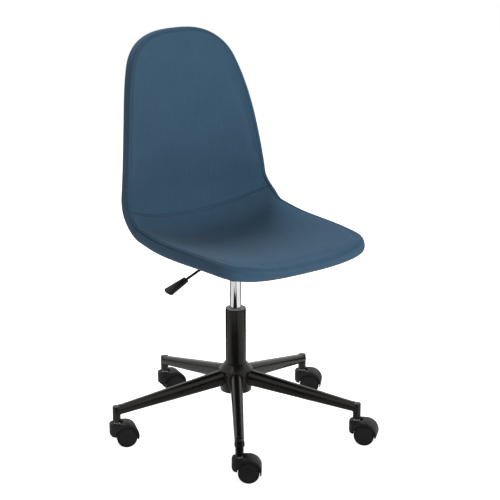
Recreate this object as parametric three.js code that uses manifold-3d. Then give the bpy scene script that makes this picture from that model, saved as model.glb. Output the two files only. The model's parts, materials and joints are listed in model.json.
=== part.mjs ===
// Swivel office chair: an upholstered bucket seat on a gas-lift column, a five-leg tube base and
// five hooded twin-wheel casters. Millimetres, +Z up, the sitter faces -Y.
// Run with the npm packages three and manifold-3d; the default export is the THREE.Group.
import * as THREE from "three";
import { mergeVertices } from "three/addons/utils/BufferGeometryUtils.js";
import Module from "manifold-3d";

const wasm = await Module();
wasm.setup();

// ---------------------------------------------------------------- driving dimensions
// The column stands a little in front and to the left of the middle of the footprint.
const COLUMN_X = -11.5;
const COLUMN_Y = -16;

const GAP = 0.3; // between pieces that seat on each other or run in each other
const PAST = 10; // how far a cutting solid runs past what it cuts

// Base
const LEG_COUNT = 5;
const FIRST_LEG_ANGLE = 19; // degrees from +X, seen from above
const CASTER_CIRCLE_R = 305; // column axis to caster stem
const LEG_TIP_WIDTH = 20.5;
const LEG_TIP_HEIGHT = 24;
const LEG_ROOT_WIDTH = 30;
const LEG_ROOT_HEIGHT = 34;
const LEG_RISE = 49; // from the middle of the tip to the middle of the root
const LEG_WALL = 2;
const LEG_SECTION_POWER = 2.7; // roundness of the oval tube, 2 is an ellipse
const SOCKET_R = 9.8;
const SOCKET_LENGTH = 39.5;
const SOCKET_CAP = 7; // metal above the blind bore
const SOCKET_EDGE_R = 3;
const HUB_R = 38.5;
const HUB_SHOULDER_R = 40.5;
const HUB_TOP_R = 27;
const HUB_FLARE_HEIGHT = 9; // below the shoulder, where the drum widens
const HUB_WALL = 3;
const HUB_BELOW_LEG = 16; // hub drum below the leg's underside
const HUB_ABOVE_LEG = 4; // hub shoulder above the leg's top
const HUB_CONE_HEIGHT = 17.5;

// Casters
const WHEEL_R = 25;
const WHEEL_WIDTH = 18.7;
const WHEEL_DOME = 1.1; // the outer face bulges by this much
const WHEEL_EDGE_R = 1.6;
const WHEEL_DISC_R = 22.3; // edge of the domed disc
const WHEEL_RECESS = 0.6; // step round the disc
const WEB_THICKNESS = 6; // wall of the hood between the two wheels
const WHEEL_SIDE_GAP = 0.6; // wheel to web
const CASTER_TRAIL = 21.5; // stem axis to axle
const CASTER_TRAIL_ANGLES = [-44, -12, -23, -38, -50]; // where each caster trails, degrees from +X
const HOOD_GAP = 1.4; // wheel tread to hood
const HOOD_WALL = 3.6;
const HOOD_RISE = 2.5; // centre of the hood's arc above the axle
const HOOD_HALF_WIDTH = 22.8;
const HOOD_END_ANGLE = -15; // where the mudguard ends behind the wheel, degrees
const NECK_R = 18.5;
const NECK_BOTTOM_Z = 26;
const NECK_HEEL_R = 8; // roundness of the nose's lower corner
const NECK_CHAMFER = 4; // of the nose's upper corner
const NECK_SLANT = 15; // how far the nose widens towards the wheels, degrees
const HOOD_SHOULDER = 12; // where the hood gets its full width, ahead of the axle
const WEB_HALF_LENGTH = 9; // of the web's lower end
const WEB_BOTTOM_Z = 13.5;
const POCKET_R = 12.5;
const POCKET_SHIFT = 3.5; // the pocket round the stem lies a little towards the wheels
const POCKET_DEPTH = 3;
const AXLE_R = 3;
const AXLE_LENGTH = 34;
const STEM_R = 5.5;
const STEM_FLANGE_R = 7.2;
const STEM_FLANGE_HEIGHT = 1.8;
const STEM_FOOT_R = 4;
const STEM_FOOT_DEPTH = 8.5;
const STEM_LENGTH = 31; // above the flange
const GRIP_RING_R = 6;
const GRIP_RING_HEIGHT = 3;
const GRIP_RING_SLOPE = 1; // above and below the ring
const STEM_TIP_HEIGHT = 5; // from the ring's slope to the tip
const STEM_TIP_BEVEL = 2;
const SOCKET_CLEARANCE = 3.5; // socket's lower end above the caster

// Gas lift
const COLUMN_R = 25;
const COLUMN_WALL = 2;
const COLUMN_LENGTH = 204;
const COLUMN_TAPER_LENGTH = 66;
const COLUMN_TAPER = 1.2; // radius lost along the taper
const COLUMN_PLATE = 5; // bottom plate
const COLUMN_ABOVE_HUB_BOTTOM = 6.5;
const BUSH_LENGTH = 100;
const BUSH_BELOW_RIM = 0.6;
const CYLINDER_R = 14;
const CYLINDER_WALL = 2;
const CYLINDER_LENGTH = 220;
const CYLINDER_TAPER_LENGTH = 36;
const CYLINDER_TAPER = 1;
const CYLINDER_END = 12; // seal block round the rod
const CYLINDER_OUT = 104; // cylinder standing out of the column at rest
const VALVE_BLOCK = 25;
const PIN_R = 4;
const PIN_OUT = 6.4; // release pin above the cylinder
const PIN_IN = 14;
const PIN_POCKET = 20;
const ROD_R = 5;
const PISTON_THICKNESS = 10;
const PISTON_HEIGHT = 152; // piston's underside above the bottom plate
const RACE_R = 15;
const RACE_THICKNESS = 2.5;
const CAGE_THICKNESS = 3;
const SHOULDER_THICKNESS = 2.6;
const CLIP_R = 9;
const CLIP_THICKNESS = 1.2;
const ROD_TAIL = 3.2; // rod below the clip's groove

// Mechanism under the seat
const SOCKET_SLEEVE_R = 18;
const SLEEVE_LENGTH = 31;
const SLEEVE_BELOW_TOP = 1; // sleeve's top below the cylinder's
const BOX_FRONT_BACK = 54; // along Y
const BOX_LEVER_SIDE = 38; // column axis to the wall on the lever's side
const BOX_FAR_SIDE = 34;
const BOX_HEIGHT = 23.5;
const BOX_WALL = 2.5;
const PLATE_WIDTH = 150; // along X
const PLATE_DEPTH = 150; // along Y
const PLATE_THICKNESS = 3;
const PLATE_LIP = 9; // height of the pressed rim
const PLATE_CORNER_R = 16;
const PLATE_OVER_LEVER = 8.8; // plate's underside above the lever's middle
const SCREW_X = 58;
const SCREW_Y = 60;
const SCREW_R = 2.8;
const SCREW_HEAD_R = 5.6;
const SCREW_HEAD_HEIGHT = 3.4;
const SCREW_LENGTH = 13;
const BOSS_R = 9;
const LEVER_R = 3.25;
const LEVER_YAW = 5; // degrees, the lever points a little backward
const LEVER_STRAIGHT = 92; // from the column axis to the start of the bend
const LEVER_BEND_R = 26;
const LEVER_SLOPE = 25; // degrees, beyond the bend
const LEVER_SLOPED_LENGTH = 61;
const LEVER_INNER_END = 5; // past the column axis
const LEVER_PIVOT = 28; // column axis to the pivot
const BUSH_BLOCK_R = 6.5;
const BUSH_BLOCK_WIDTH = 20;
const PIVOT_R = 2;
const PIVOT_COVER = 1.5; // material of the block between the lever's rod and the pin
const PADDLE_LENGTH = 56;
const PADDLE_OVER_ROD = 24; // length of rod inside the paddle
const PADDLE_INNER_WIDTH = 14;
const PADDLE_OUTER_WIDTH = 29;
const PADDLE_THICKNESS = 8.5;
const PADDLE_CORNER = 4.5;

// Bucket seat: the middle line of the sitting surface, from the front edge to the top of the back
const SEAT_HEIGHT = 43.2; // sitting surface over the column, above the seat plate's top
const LIP_RADIUS = 52;
const LIP_ANGLE = 48.8; // degrees that the front edge turns down
const SEAT_SLOPE = 5.4; // degrees, down towards the back
const SEAT_FRONT = 252.6; // column axis to the end of the lip's curve, along the surface
const SEAT_FLAT = 347.5; // straight part
const BEND_RADIUS = 113.5;
const BACK_ANGLE = 93; // degrees from the horizontal at the foot of the back
const BACK_LENGTH = 374.5;
const BACK_CURVE = 11.6; // degrees that the back curves away
// Half width along the surface, as pairs of share of the length and width
const HALF_WIDTHS = [[0, 197], [0.25, 219], [0.5, 215], [0.7, 193.5], [0.86, 164.5], [1, 118.5]];
// How far the edges rise towards the sitter, in the same way
const DISH = [[0, 7.5], [0.15, 26], [0.32, 43], [0.5, 76.5], [0.75, 53.5], [1, 4.5]];
const DISH_POWER = 2.2;
const CROSS_SEAM = 500; // distance of the cross seam along the surface
const FRONT_END = 88; // length of the rounded front end
const FRONT_POWER = 2.6;
const TOP_END = 90;
const TOP_POWER = 2.5;
const SEAT_THICKNESS = 37;
const COVER_RIM = 9; // width of the cover's rim round the pads
const COVER_RINGS = [2.5, 7, 16]; // insets of the rings that round the cover's edge
const INNER_RINGS = [4, 14]; // insets of the rings inside the edge of the shell and the pads
const COVER_FLOOR = 7; // cover under the shell
const SHELL_THICKNESS = 6;
const SEAM_GAP = 0.5; // between the two pads
const PAD_EDGE = 2; // how far the pads' edges lie below the sitting surface
const TOP_EDGE_R = 4;
const BOTTOM_EDGE_R = 12;

// ---------------------------------------------------------------- heights, from the floor up
const AXLE_Z = WHEEL_R;
const HOOD_R = WHEEL_R + HOOD_GAP + HOOD_WALL;
const HOOD_CENTRE_Z = AXLE_Z + HOOD_RISE;
const NECK_TOP_Z = HOOD_CENTRE_Z + HOOD_R;
const POCKET_Z = NECK_TOP_Z - POCKET_DEPTH;
const SOCKET_Z = NECK_TOP_Z + SOCKET_CLEARANCE;
const SOCKET_TOP_Z = SOCKET_Z + SOCKET_LENGTH;
const LEG_TIP_Z = SOCKET_TOP_Z - LEG_TIP_HEIGHT / 2;
const LEG_ROOT_Z = LEG_TIP_Z + LEG_RISE;
const HUB_Z = LEG_ROOT_Z - LEG_ROOT_HEIGHT / 2 - HUB_BELOW_LEG;
const HUB_SHOULDER_Z = LEG_ROOT_Z + LEG_ROOT_HEIGHT / 2 + HUB_ABOVE_LEG;
const HUB_TOP_Z = HUB_SHOULDER_Z + HUB_CONE_HEIGHT;
const COLUMN_Z = HUB_Z + COLUMN_ABOVE_HUB_BOTTOM;
const COLUMN_TOP_Z = COLUMN_Z + COLUMN_LENGTH;
const PLATE_INSIDE_Z = COLUMN_Z + COLUMN_PLATE; // top of the column's bottom plate
const CYLINDER_TOP_Z = COLUMN_TOP_Z + CYLINDER_OUT;
const CYLINDER_Z = CYLINDER_TOP_Z - CYLINDER_LENGTH;
const SLEEVE_TOP_Z = CYLINDER_TOP_Z - SLEEVE_BELOW_TOP;
const SLEEVE_Z = SLEEVE_TOP_Z - SLEEVE_LENGTH;
const LEVER_Z = CYLINDER_TOP_Z + PIN_OUT + GAP + LEVER_R;
const PLATE_UNDER_Z = LEVER_Z + PLATE_OVER_LEVER;
const PLATE_TOP_Z = PLATE_UNDER_Z + PLATE_THICKNESS;
const BOX_TOP_Z = PLATE_UNDER_Z - GAP;
const BOX_Z = BOX_TOP_Z - BOX_HEIGHT;
const SEAT_Z = PLATE_TOP_Z + SEAT_HEIGHT;

// ---------------------------------------------------------------- shape tools
const degrees = (a) => (a * Math.PI) / 180;
const flip = new THREE.Matrix4().makeRotationX(Math.PI / 2); // a lathe's Y axis becomes Z

// A closed three.js geometry as a manifold-3d solid.
function solid(geometry) {
  const bare = geometry.clone();
  bare.deleteAttribute("normal");
  bare.deleteAttribute("uv");
  const merged = mergeVertices(bare, 1e-4);
  return new wasm.Manifold(
    new wasm.Mesh({
      numProp: 3,
      vertProperties: merged.attributes.position.array,
      triVerts: new Uint32Array(merged.index.array),
    }),
  );
}

// A manifold-3d solid as a three.js geometry.
function geometryOf(body) {
  const mesh = body.getMesh();
  const geometry = new THREE.BufferGeometry();
  geometry.setAttribute("position", new THREE.BufferAttribute(mesh.vertProperties, 3));
  geometry.setIndex(new THREE.BufferAttribute(mesh.triVerts, 1));
  return geometry;
}

// A profile of [radius, height] points, anticlockwise as seen with the axis on the left.
function turned(profile, segments) {
  const points = profile.map(([r, z]) => new THREE.Vector2(r, z));
  return new THREE.LatheGeometry(points, segments).applyMatrix4(flip);
}

// A ring or sleeve: the profile closes on itself.
const ring = (profile, segments) => turned([...profile, profile[0]], segments);

function disc(radius, bottom, top, segments = 24) {
  return turned([[0, bottom], [radius, bottom], [radius, top], [0, top]], segments);
}

// A flat outline raised along Z from bottom to top.
function raised(shape, bottom, top, curveSegments = 6) {
  const options = { depth: top - bottom, bevelEnabled: false, curveSegments };
  return new THREE.ExtrudeGeometry(shape, options).translate(0, 0, bottom);
}

function box(x0, x1, y0, y1, z0, z1) {
  const geometry = new THREE.BoxGeometry(x1 - x0, y1 - y0, z1 - z0);
  return geometry.translate((x0 + x1) / 2, (y0 + y1) / 2, (z0 + z1) / 2);
}

function roundedRectangle(x0, x1, y0, y1, r) {
  const shape = new THREE.Shape();
  shape.absarc(x1 - r, y0 + r, r, -Math.PI / 2, 0);
  shape.absarc(x1 - r, y1 - r, r, 0, Math.PI / 2);
  shape.absarc(x0 + r, y1 - r, r, Math.PI / 2, Math.PI);
  shape.absarc(x0 + r, y0 + r, r, Math.PI, 1.5 * Math.PI);
  return shape;
}

// The skin over a list of rings with the same number of points: closed at both ends, or joined
// from the last ring back to the first, as a tube's outside and inside are.
function loft(rings, joined = false) {
  const count = rings[0].length;
  const positions = rings.flat().flatMap((p) => [p.x, p.y, p.z]);
  const faces = [];
  const bands = joined ? rings.length : rings.length - 1;
  for (let i = 0; i < bands; i++) {
    const near = i * count;
    const far = ((i + 1) % rings.length) * count;
    for (let j = 0; j < count; j++) {
      const next = (j + 1) % count;
      faces.push(near + j, near + next, far + next, near + j, far + next, far + j);
    }
  }
  const last = (rings.length - 1) * count;
  for (let j = 1; j + 1 < count && !joined; j++) {
    faces.push(0, j + 1, j, last, last + j, last + j + 1);
  }
  const geometry = new THREE.BufferGeometry();
  geometry.setAttribute("position", new THREE.Float32BufferAttribute(positions, 3));
  geometry.setIndex(faces);
  return geometry;
}

// ---------------------------------------------------------------- materials
const finish = (color, roughness, metalness) =>
  new THREE.MeshStandardMaterial({ color, roughness, metalness });
const PAINTED_STEEL = [0x1b1b1c, 0.35, 0.4];
const BLACK_NYLON = [0x202021, 0.5, 0];
const BRIGHT_STEEL = [0xb9bbbd, 0.3, 0.9];
const CHROME = [0xd8dadc, 0.08, 1];
const PALE_NYLON = [0xbdbdb8, 0.5, 0];
const SHELL_PLASTIC = [0x2a2a2c, 0.6, 0];
const BLUE_FABRIC = [0x3f5a6f, 0.9, 0];

const chair = new THREE.Group();
chair.position.set(COLUMN_X, COLUMN_Y, 0);

function add(parent, name, geometry, look) {
  const mesh = new THREE.Mesh(geometry, finish(...look));
  mesh.name = name;
  parent.add(mesh);
  return mesh;
}

// ---------------------------------------------------------------- base
const HUB_SEGMENTS = 26;
const columnTaper = (z) =>
  COLUMN_R - COLUMN_TAPER * Math.min(1, Math.max(0, 1 - (z - COLUMN_Z) / COLUMN_TAPER_LENGTH));

// A drum with a sloping roof and an inner taper sleeve, open underneath between the two.
function hub() {
  const sleeve = (z) => columnTaper(z) + GAP;
  const bend = COLUMN_Z + COLUMN_TAPER_LENGTH;
  return ring(
    [
      [HUB_R, HUB_Z],
      [HUB_R, HUB_SHOULDER_Z - HUB_FLARE_HEIGHT],
      [HUB_SHOULDER_R, HUB_SHOULDER_Z],
      [HUB_TOP_R, HUB_TOP_Z],
      [sleeve(HUB_TOP_Z), HUB_TOP_Z],
      [sleeve(bend), bend],
      [sleeve(HUB_Z), HUB_Z],
      [sleeve(HUB_Z) + HUB_WALL, HUB_Z],
      [sleeve(bend) + HUB_WALL, HUB_SHOULDER_Z],
      [HUB_R - HUB_WALL, HUB_SHOULDER_Z - HUB_WALL],
      [HUB_R - HUB_WALL, HUB_Z],
    ],
    HUB_SEGMENTS,
  );
}

// One oval ring of the leg's tube, upright at the distance x from the column.
function legRing(x, width, height, z) {
  const points = [];
  const sides = 16;
  for (let i = 0; i < sides; i++) {
    const angle = (2 * Math.PI * i) / sides;
    const c = Math.cos(angle);
    const s = Math.sin(angle);
    const power = 2 / LEG_SECTION_POWER;
    const y = (width / 2) * Math.sign(c) * Math.abs(c) ** power;
    const up = (height / 2) * Math.sign(s) * Math.abs(s) ** power;
    points.push(new THREE.Vector3(x, y, z + up));
  }
  return points;
}

// Where the line from a to b crosses an upright cylinder: side 1 is where it leaves the cylinder,
// -1 where it enters. A line that passes just beside it ends at its nearest point.
function crossing(a, b, centreX, radius, side) {
  const step = b.clone().sub(a);
  const x = a.x - centreX;
  const p = step.x ** 2 + step.y ** 2;
  const q = x * step.x + a.y * step.y;
  const root = Math.sqrt(Math.max(0, q * q - p * (x * x + a.y ** 2 - radius ** 2)));
  return a.clone().addScaledVector(step, (-q + side * root) / p);
}

// Outside radius of the hub at a height up to its shoulder.
function hubRadius(z) {
  const share = (z - HUB_SHOULDER_Z) / HUB_FLARE_HEIGHT + 1;
  return HUB_R + (HUB_SHOULDER_R - HUB_R) * Math.min(1, Math.max(0, share));
}

// A tapering oval tube along +X, its ends fitted to the round hub and to the round socket. Its
// facets cut the corners of the small socket, so it keeps twice the gap there.
function leg() {
  const surface = (inset) => {
    const width = LEG_ROOT_WIDTH - inset;
    const roots = legRing(HUB_R - HUB_WALL, width, LEG_ROOT_HEIGHT - inset, LEG_ROOT_Z);
    const tipWidth = LEG_TIP_WIDTH - inset;
    const tips = legRing(CASTER_CIRCLE_R, tipWidth, LEG_TIP_HEIGHT - inset, LEG_TIP_Z);
    return {
      hubEnd: roots.map((a, i) => crossing(a, tips[i], 0, hubRadius(a.z) + GAP, 1)),
      socketEnd: roots.map((a, i) => crossing(a, tips[i], CASTER_CIRCLE_R, SOCKET_R + 2 * GAP, -1)),
    };
  };
  const outside = surface(0);
  const inside = surface(2 * LEG_WALL);
  return loft([outside.hubEnd, outside.socketEnd, inside.socketEnd, inside.hubEnd], true);
}

// The upright tube at a leg's end: closed on top, bored from below for the caster's stem.
function legSocket() {
  const bore = GRIP_RING_R + GAP;
  const bevel = SOCKET_EDGE_R * Math.SQRT1_2;
  return turned(
    [
      [0, SOCKET_TOP_Z - SOCKET_CAP],
      [bore, SOCKET_TOP_Z - SOCKET_CAP],
      [bore, SOCKET_Z],
      [SOCKET_R, SOCKET_Z],
      [SOCKET_R, SOCKET_TOP_Z - SOCKET_EDGE_R],
      [SOCKET_R - SOCKET_EDGE_R + bevel, SOCKET_TOP_Z - SOCKET_EDGE_R + bevel],
      [SOCKET_R - SOCKET_EDGE_R, SOCKET_TOP_Z],
      [0, SOCKET_TOP_Z],
    ],
    14,
  );
}

add(chair, "base_hub", hub(), PAINTED_STEEL);
const legShape = leg();
const socketShape = legSocket();
for (let i = 0; i < LEG_COUNT; i++) {
  const spoke = new THREE.Group();
  spoke.rotation.z = degrees(FIRST_LEG_ANGLE + (360 / LEG_COUNT) * i);
  add(spoke, `leg_${i + 1}`, legShape, PAINTED_STEEL);
  add(spoke, `leg_socket_${i + 1}`, socketShape, PAINTED_STEEL).position.x = CASTER_CIRCLE_R;
  chair.add(spoke);
}

// ---------------------------------------------------------------- casters
// Caster frame: the stem's axis is Z, the wheels trail along +X.
function stem() {
  const foot = POCKET_Z - STEM_FOOT_DEPTH;
  const flange = POCKET_Z + GAP;
  const top = flange + STEM_FLANGE_HEIGHT;
  const tip = top + STEM_LENGTH;
  const ring = tip - STEM_TIP_HEIGHT - GRIP_RING_SLOPE - GRIP_RING_HEIGHT;
  return turned(
    [
      [0, foot],
      [STEM_FOOT_R, foot],
      [STEM_FOOT_R, flange],
      [STEM_FLANGE_R, flange],
      [STEM_FLANGE_R, top],
      [STEM_R, top],
      [STEM_R, ring - GRIP_RING_SLOPE],
      [GRIP_RING_R, ring],
      [GRIP_RING_R, ring + GRIP_RING_HEIGHT],
      [STEM_R, tip - STEM_TIP_HEIGHT],
      [STEM_R, tip - STEM_TIP_BEVEL],
      [STEM_R - STEM_TIP_BEVEL, tip],
      [0, tip],
    ],
    8,
  );
}

// Side outline of the hood, with the wheel's circle still filled in.
function hoodSide() {
  const shape = new THREE.Shape();
  const end = degrees(HOOD_END_ANGLE);
  shape.moveTo(CASTER_TRAIL - WEB_HALF_LENGTH, WEB_BOTTOM_Z);
  shape.lineTo(CASTER_TRAIL + WEB_HALF_LENGTH, WEB_BOTTOM_Z);
  shape.absarc(CASTER_TRAIL, HOOD_CENTRE_Z, HOOD_R, end, Math.PI / 2);
  shape.lineTo(NECK_CHAMFER - NECK_R, NECK_TOP_Z);
  shape.lineTo(-NECK_R, NECK_TOP_Z - NECK_CHAMFER);
  const heel = [NECK_HEEL_R - NECK_R, NECK_BOTTOM_Z + NECK_HEEL_R];
  shape.absarc(...heel, NECK_HEEL_R, Math.PI, 1.5 * Math.PI);
  shape.lineTo(CASTER_TRAIL - WHEEL_R, NECK_BOTTOM_Z);
  return shape;
}

// Plan outline of the hood: a round nose at the stem, widening to the wheels.
function hoodPlan() {
  const shape = new THREE.Shape();
  const slant = degrees(NECK_SLANT);
  shape.absarc(0, 0, NECK_R, Math.PI / 2 + slant, 1.5 * Math.PI - slant);
  shape.lineTo(CASTER_TRAIL - HOOD_SHOULDER, -HOOD_HALF_WIDTH);
  shape.lineTo(CASTER_TRAIL + HOOD_R, -HOOD_HALF_WIDTH);
  shape.lineTo(CASTER_TRAIL + HOOD_R, HOOD_HALF_WIDTH);
  shape.lineTo(CASTER_TRAIL - HOOD_SHOULDER, HOOD_HALF_WIDTH);
  return shape;
}

// A mudguard over both wheels with the web between them and the neck that takes the stem.
function hood() {
  const upright = new THREE.Matrix4().makeRotationX(Math.PI / 2);
  const past = 2 * HOOD_HALF_WIDTH; // longer than the hood is wide, so that cuts pass through
  const side = raised(hoodSide(), -past, past, 8).applyMatrix4(upright);
  const plan = raised(hoodPlan(), 0, NECK_TOP_Z + PAST, 6);
  let body = solid(side).intersect(solid(plan));
  const inner = WEB_THICKNESS / 2;
  for (const hand of [-1, 1]) {
    const recess = disc(WHEEL_R + HOOD_GAP, inner, past, 20).rotateX((-Math.PI / 2) * hand);
    body = body.subtract(solid(recess.translate(CASTER_TRAIL, 0, AXLE_Z)));
  }
  const pocket = disc(POCKET_R, POCKET_Z, NECK_TOP_Z + PAST, 12).translate(POCKET_SHIFT, 0, 0);
  const hole = disc(STEM_FOOT_R + GAP, POCKET_Z - STEM_FOOT_DEPTH - GAP, POCKET_Z + 1, 8);
  const axle = disc(AXLE_R + GAP, -past, past, 8).rotateX(Math.PI / 2);
  return geometryOf(
    body
      .subtract(solid(pocket))
      .subtract(solid(hole))
      .subtract(solid(axle.translate(CASTER_TRAIL, 0, AXLE_Z))),
  );
}

const axle = () => disc(AXLE_R, -AXLE_LENGTH / 2, AXLE_LENGTH / 2, 8).rotateX(Math.PI / 2);

// A wheel about Z, its inner side down: blind axle bore, rounded tread, domed disc on the outside.
function wheel() {
  const inner = WEB_THICKNESS / 2 + WHEEL_SIDE_GAP;
  const outer = inner + WHEEL_WIDTH;
  const bore = AXLE_R + GAP;
  const boreEnd = AXLE_LENGTH / 2 + GAP;
  return turned(
    [
      [0, boreEnd],
      [bore, boreEnd],
      [bore, inner],
      [WHEEL_R, inner],
      [WHEEL_R, outer - WHEEL_EDGE_R],
      [WHEEL_R - WHEEL_EDGE_R, outer],
      [WHEEL_DISC_R, outer - WHEEL_RECESS],
      [WHEEL_DISC_R * 0.62, outer + WHEEL_DOME * 0.7],
      [0, outer + WHEEL_DOME],
    ],
    16,
  );
}

const stemShape = stem();
const hoodShape = hood();
const axleShape = axle();
const wheelShape = wheel();
for (let i = 0; i < LEG_COUNT; i++) {
  const spoke = degrees(FIRST_LEG_ANGLE + (360 / LEG_COUNT) * i);
  const caster = new THREE.Group();
  caster.position.set(CASTER_CIRCLE_R * Math.cos(spoke), CASTER_CIRCLE_R * Math.sin(spoke), 0);
  caster.rotation.z = degrees(CASTER_TRAIL_ANGLES[i]);
  add(caster, `caster_stem_${i + 1}`, stemShape, BRIGHT_STEEL);
  add(caster, `caster_hood_${i + 1}`, hoodShape, BLACK_NYLON);
  const wheels = new THREE.Group();
  wheels.position.set(CASTER_TRAIL, 0, AXLE_Z);
  add(wheels, `caster_axle_${i + 1}`, axleShape, BRIGHT_STEEL);
  add(wheels, `wheel_${i + 1}_left`, wheelShape, BLACK_NYLON).rotation.x = -Math.PI / 2;
  add(wheels, `wheel_${i + 1}_right`, wheelShape, BLACK_NYLON).rotation.x = Math.PI / 2;
  caster.add(wheels);
  chair.add(caster);
}

// ---------------------------------------------------------------- gas lift
const BORE_R = COLUMN_R - COLUMN_WALL; // inside of the column tube

// A tube with a taper foot that wedges in the hub, and a bottom plate that carries the bearing.
function columnTube() {
  const bend = COLUMN_Z + COLUMN_TAPER_LENGTH;
  return ring(
    [
      [ROD_R + GAP, COLUMN_Z],
      [columnTaper(COLUMN_Z), COLUMN_Z],
      [columnTaper(bend), bend],
      [COLUMN_R, COLUMN_TOP_Z - 1.2],
      [COLUMN_R - 1.2, COLUMN_TOP_Z],
      [BORE_R, COLUMN_TOP_Z],
      [BORE_R, bend],
      [columnTaper(COLUMN_Z) - COLUMN_WALL, PLATE_INSIDE_Z],
      [ROD_R + GAP, PLATE_INSIDE_Z],
    ],
    HUB_SEGMENTS,
  );
}

function guideBush() {
  const top = COLUMN_TOP_Z - BUSH_BELOW_RIM;
  return ring(
    [
      [CYLINDER_R + GAP, top - BUSH_LENGTH],
      [BORE_R - GAP, top - BUSH_LENGTH],
      [BORE_R - GAP, top],
      [CYLINDER_R + GAP + 1.2, top],
      [CYLINDER_R + GAP, top - 1.2],
    ],
    HUB_SEGMENTS,
  );
}

// A pressed race with a rounded ball track.
function race() {
  const bottom = PLATE_INSIDE_Z + GAP;
  const top = bottom + RACE_THICKNESS;
  const track = (ROD_R + RACE_R) / 2;
  return ring(
    [
      [ROD_R + GAP, bottom],
      [RACE_R, bottom],
      [RACE_R, top],
      [track + 2, top],
      [track, top - 0.8],
      [track - 2, top],
      [ROD_R + GAP, top],
    ],
    12,
  );
}

// A flat ring with a raised ring of balls on each side, closed into one.
function cage() {
  const middle = PLATE_INSIDE_Z + GAP + RACE_THICKNESS + GAP + CAGE_THICKNESS / 2;
  const track = (ROD_R + RACE_R) / 2;
  const half = CAGE_THICKNESS / 2;
  return ring(
    [
      [ROD_R + GAP, middle - 0.6],
      [track - 1.4, middle - 0.6],
      [track, middle - half],
      [track + 1.4, middle - 0.6],
      [RACE_R - 1, middle - 0.6],
      [RACE_R - 1, middle + 0.6],
      [track + 1.4, middle + 0.6],
      [track, middle + half],
      [track - 1.4, middle + 0.6],
      [ROD_R + GAP, middle + 0.6],
    ],
    12,
  );
}

const SHOULDER_Z = PLATE_INSIDE_Z + RACE_THICKNESS + CAGE_THICKNESS + 3 * GAP;
const CLIP_Z = COLUMN_Z - GAP - CLIP_THICKNESS;
const GROOVE_R = ROD_R - 1;

// The rod: clip groove under the plate, shoulder on the bearing, piston inside the cylinder.
function pistonRod() {
  const tail = CLIP_Z - GAP - ROD_TAIL;
  const piston = PLATE_INSIDE_Z + PISTON_HEIGHT;
  const pistonR = CYLINDER_R - CYLINDER_WALL - GAP;
  return turned(
    [
      [0, tail],
      [ROD_R, tail],
      [ROD_R, CLIP_Z - GAP],
      [GROOVE_R, CLIP_Z - GAP],
      [GROOVE_R, CLIP_Z + CLIP_THICKNESS + GAP / 2],
      [ROD_R, CLIP_Z + CLIP_THICKNESS + GAP / 2],
      [ROD_R, SHOULDER_Z],
      [RACE_R - 1, SHOULDER_Z],
      [RACE_R - 1, SHOULDER_Z + SHOULDER_THICKNESS],
      [ROD_R, SHOULDER_Z + SHOULDER_THICKNESS],
      [ROD_R, piston],
      [pistonR, piston],
      [pistonR, piston + PISTON_THICKNESS],
      [0, piston + PISTON_THICKNESS],
    ],
    12,
  );
}

// A horseshoe clip pushed into the groove from one side.
function rodClip() {
  const shape = new THREE.Shape();
  const opening = degrees(35);
  shape.absarc(0, 0, CLIP_R, opening, 2 * Math.PI - opening);
  shape.absarc(0, 0, GROOVE_R + GAP, 2 * Math.PI - opening, opening, true);
  return raised(shape, CLIP_Z, CLIP_Z + CLIP_THICKNESS, 14);
}

// Chromed cylinder: seal block below, hollow chamber, valve block with the pin's pocket, taper top.
function gasCylinder() {
  const inner = CYLINDER_R - CYLINDER_WALL;
  const taperZ = CYLINDER_TOP_Z - CYLINDER_TAPER_LENGTH;
  const bore = PIN_R + GAP;
  return turned(
    [
      [0, CYLINDER_TOP_Z - VALVE_BLOCK],
      [inner, CYLINDER_TOP_Z - VALVE_BLOCK],
      [inner, CYLINDER_Z + CYLINDER_END],
      [ROD_R + GAP, CYLINDER_Z + CYLINDER_END],
      [ROD_R + GAP, CYLINDER_Z],
      [CYLINDER_R - 0.8, CYLINDER_Z],
      [CYLINDER_R, CYLINDER_Z + 0.8],
      [CYLINDER_R, taperZ],
      [CYLINDER_R - CYLINDER_TAPER, CYLINDER_TOP_Z],
      [bore, CYLINDER_TOP_Z],
      [bore, CYLINDER_TOP_Z - PIN_POCKET],
      [0, CYLINDER_TOP_Z - PIN_POCKET],
    ],
    20,
  );
}

function releasePin() {
  const top = CYLINDER_TOP_Z + PIN_OUT;
  return turned(
    [
      [0, CYLINDER_TOP_Z - PIN_IN],
      [PIN_R, CYLINDER_TOP_Z - PIN_IN],
      [PIN_R, top - 1.6],
      [PIN_R - 1.6, top],
      [0, top],
    ],
    12,
  );
}

add(chair, "column_tube", columnTube(), PAINTED_STEEL);
add(chair, "guide_bush", guideBush(), PALE_NYLON);
add(chair, "bearing_race", race(), BRIGHT_STEEL);
add(chair, "bearing_cage", cage(), BRIGHT_STEEL);
add(chair, "piston_rod", pistonRod(), BRIGHT_STEEL);
add(chair, "rod_clip", rodClip(), BRIGHT_STEEL);
add(chair, "gas_cylinder", gasCylinder(), CHROME);
add(chair, "release_pin", releasePin(), BRIGHT_STEEL);

// ---------------------------------------------------------------- mechanism under the seat
const sleeveHole = (z) => {
  const taperZ = CYLINDER_TOP_Z - CYLINDER_TAPER_LENGTH;
  return CYLINDER_R + GAP - (CYLINDER_TAPER * (z - taperZ)) / CYLINDER_TAPER_LENGTH;
};

function taperSocket() {
  return ring(
    [
      [sleeveHole(SLEEVE_Z), SLEEVE_Z],
      [SOCKET_SLEEVE_R, SLEEVE_Z],
      [SOCKET_SLEEVE_R, SLEEVE_TOP_Z],
      [sleeveHole(SLEEVE_TOP_Z), SLEEVE_TOP_Z],
    ],
    24,
  );
}

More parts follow.
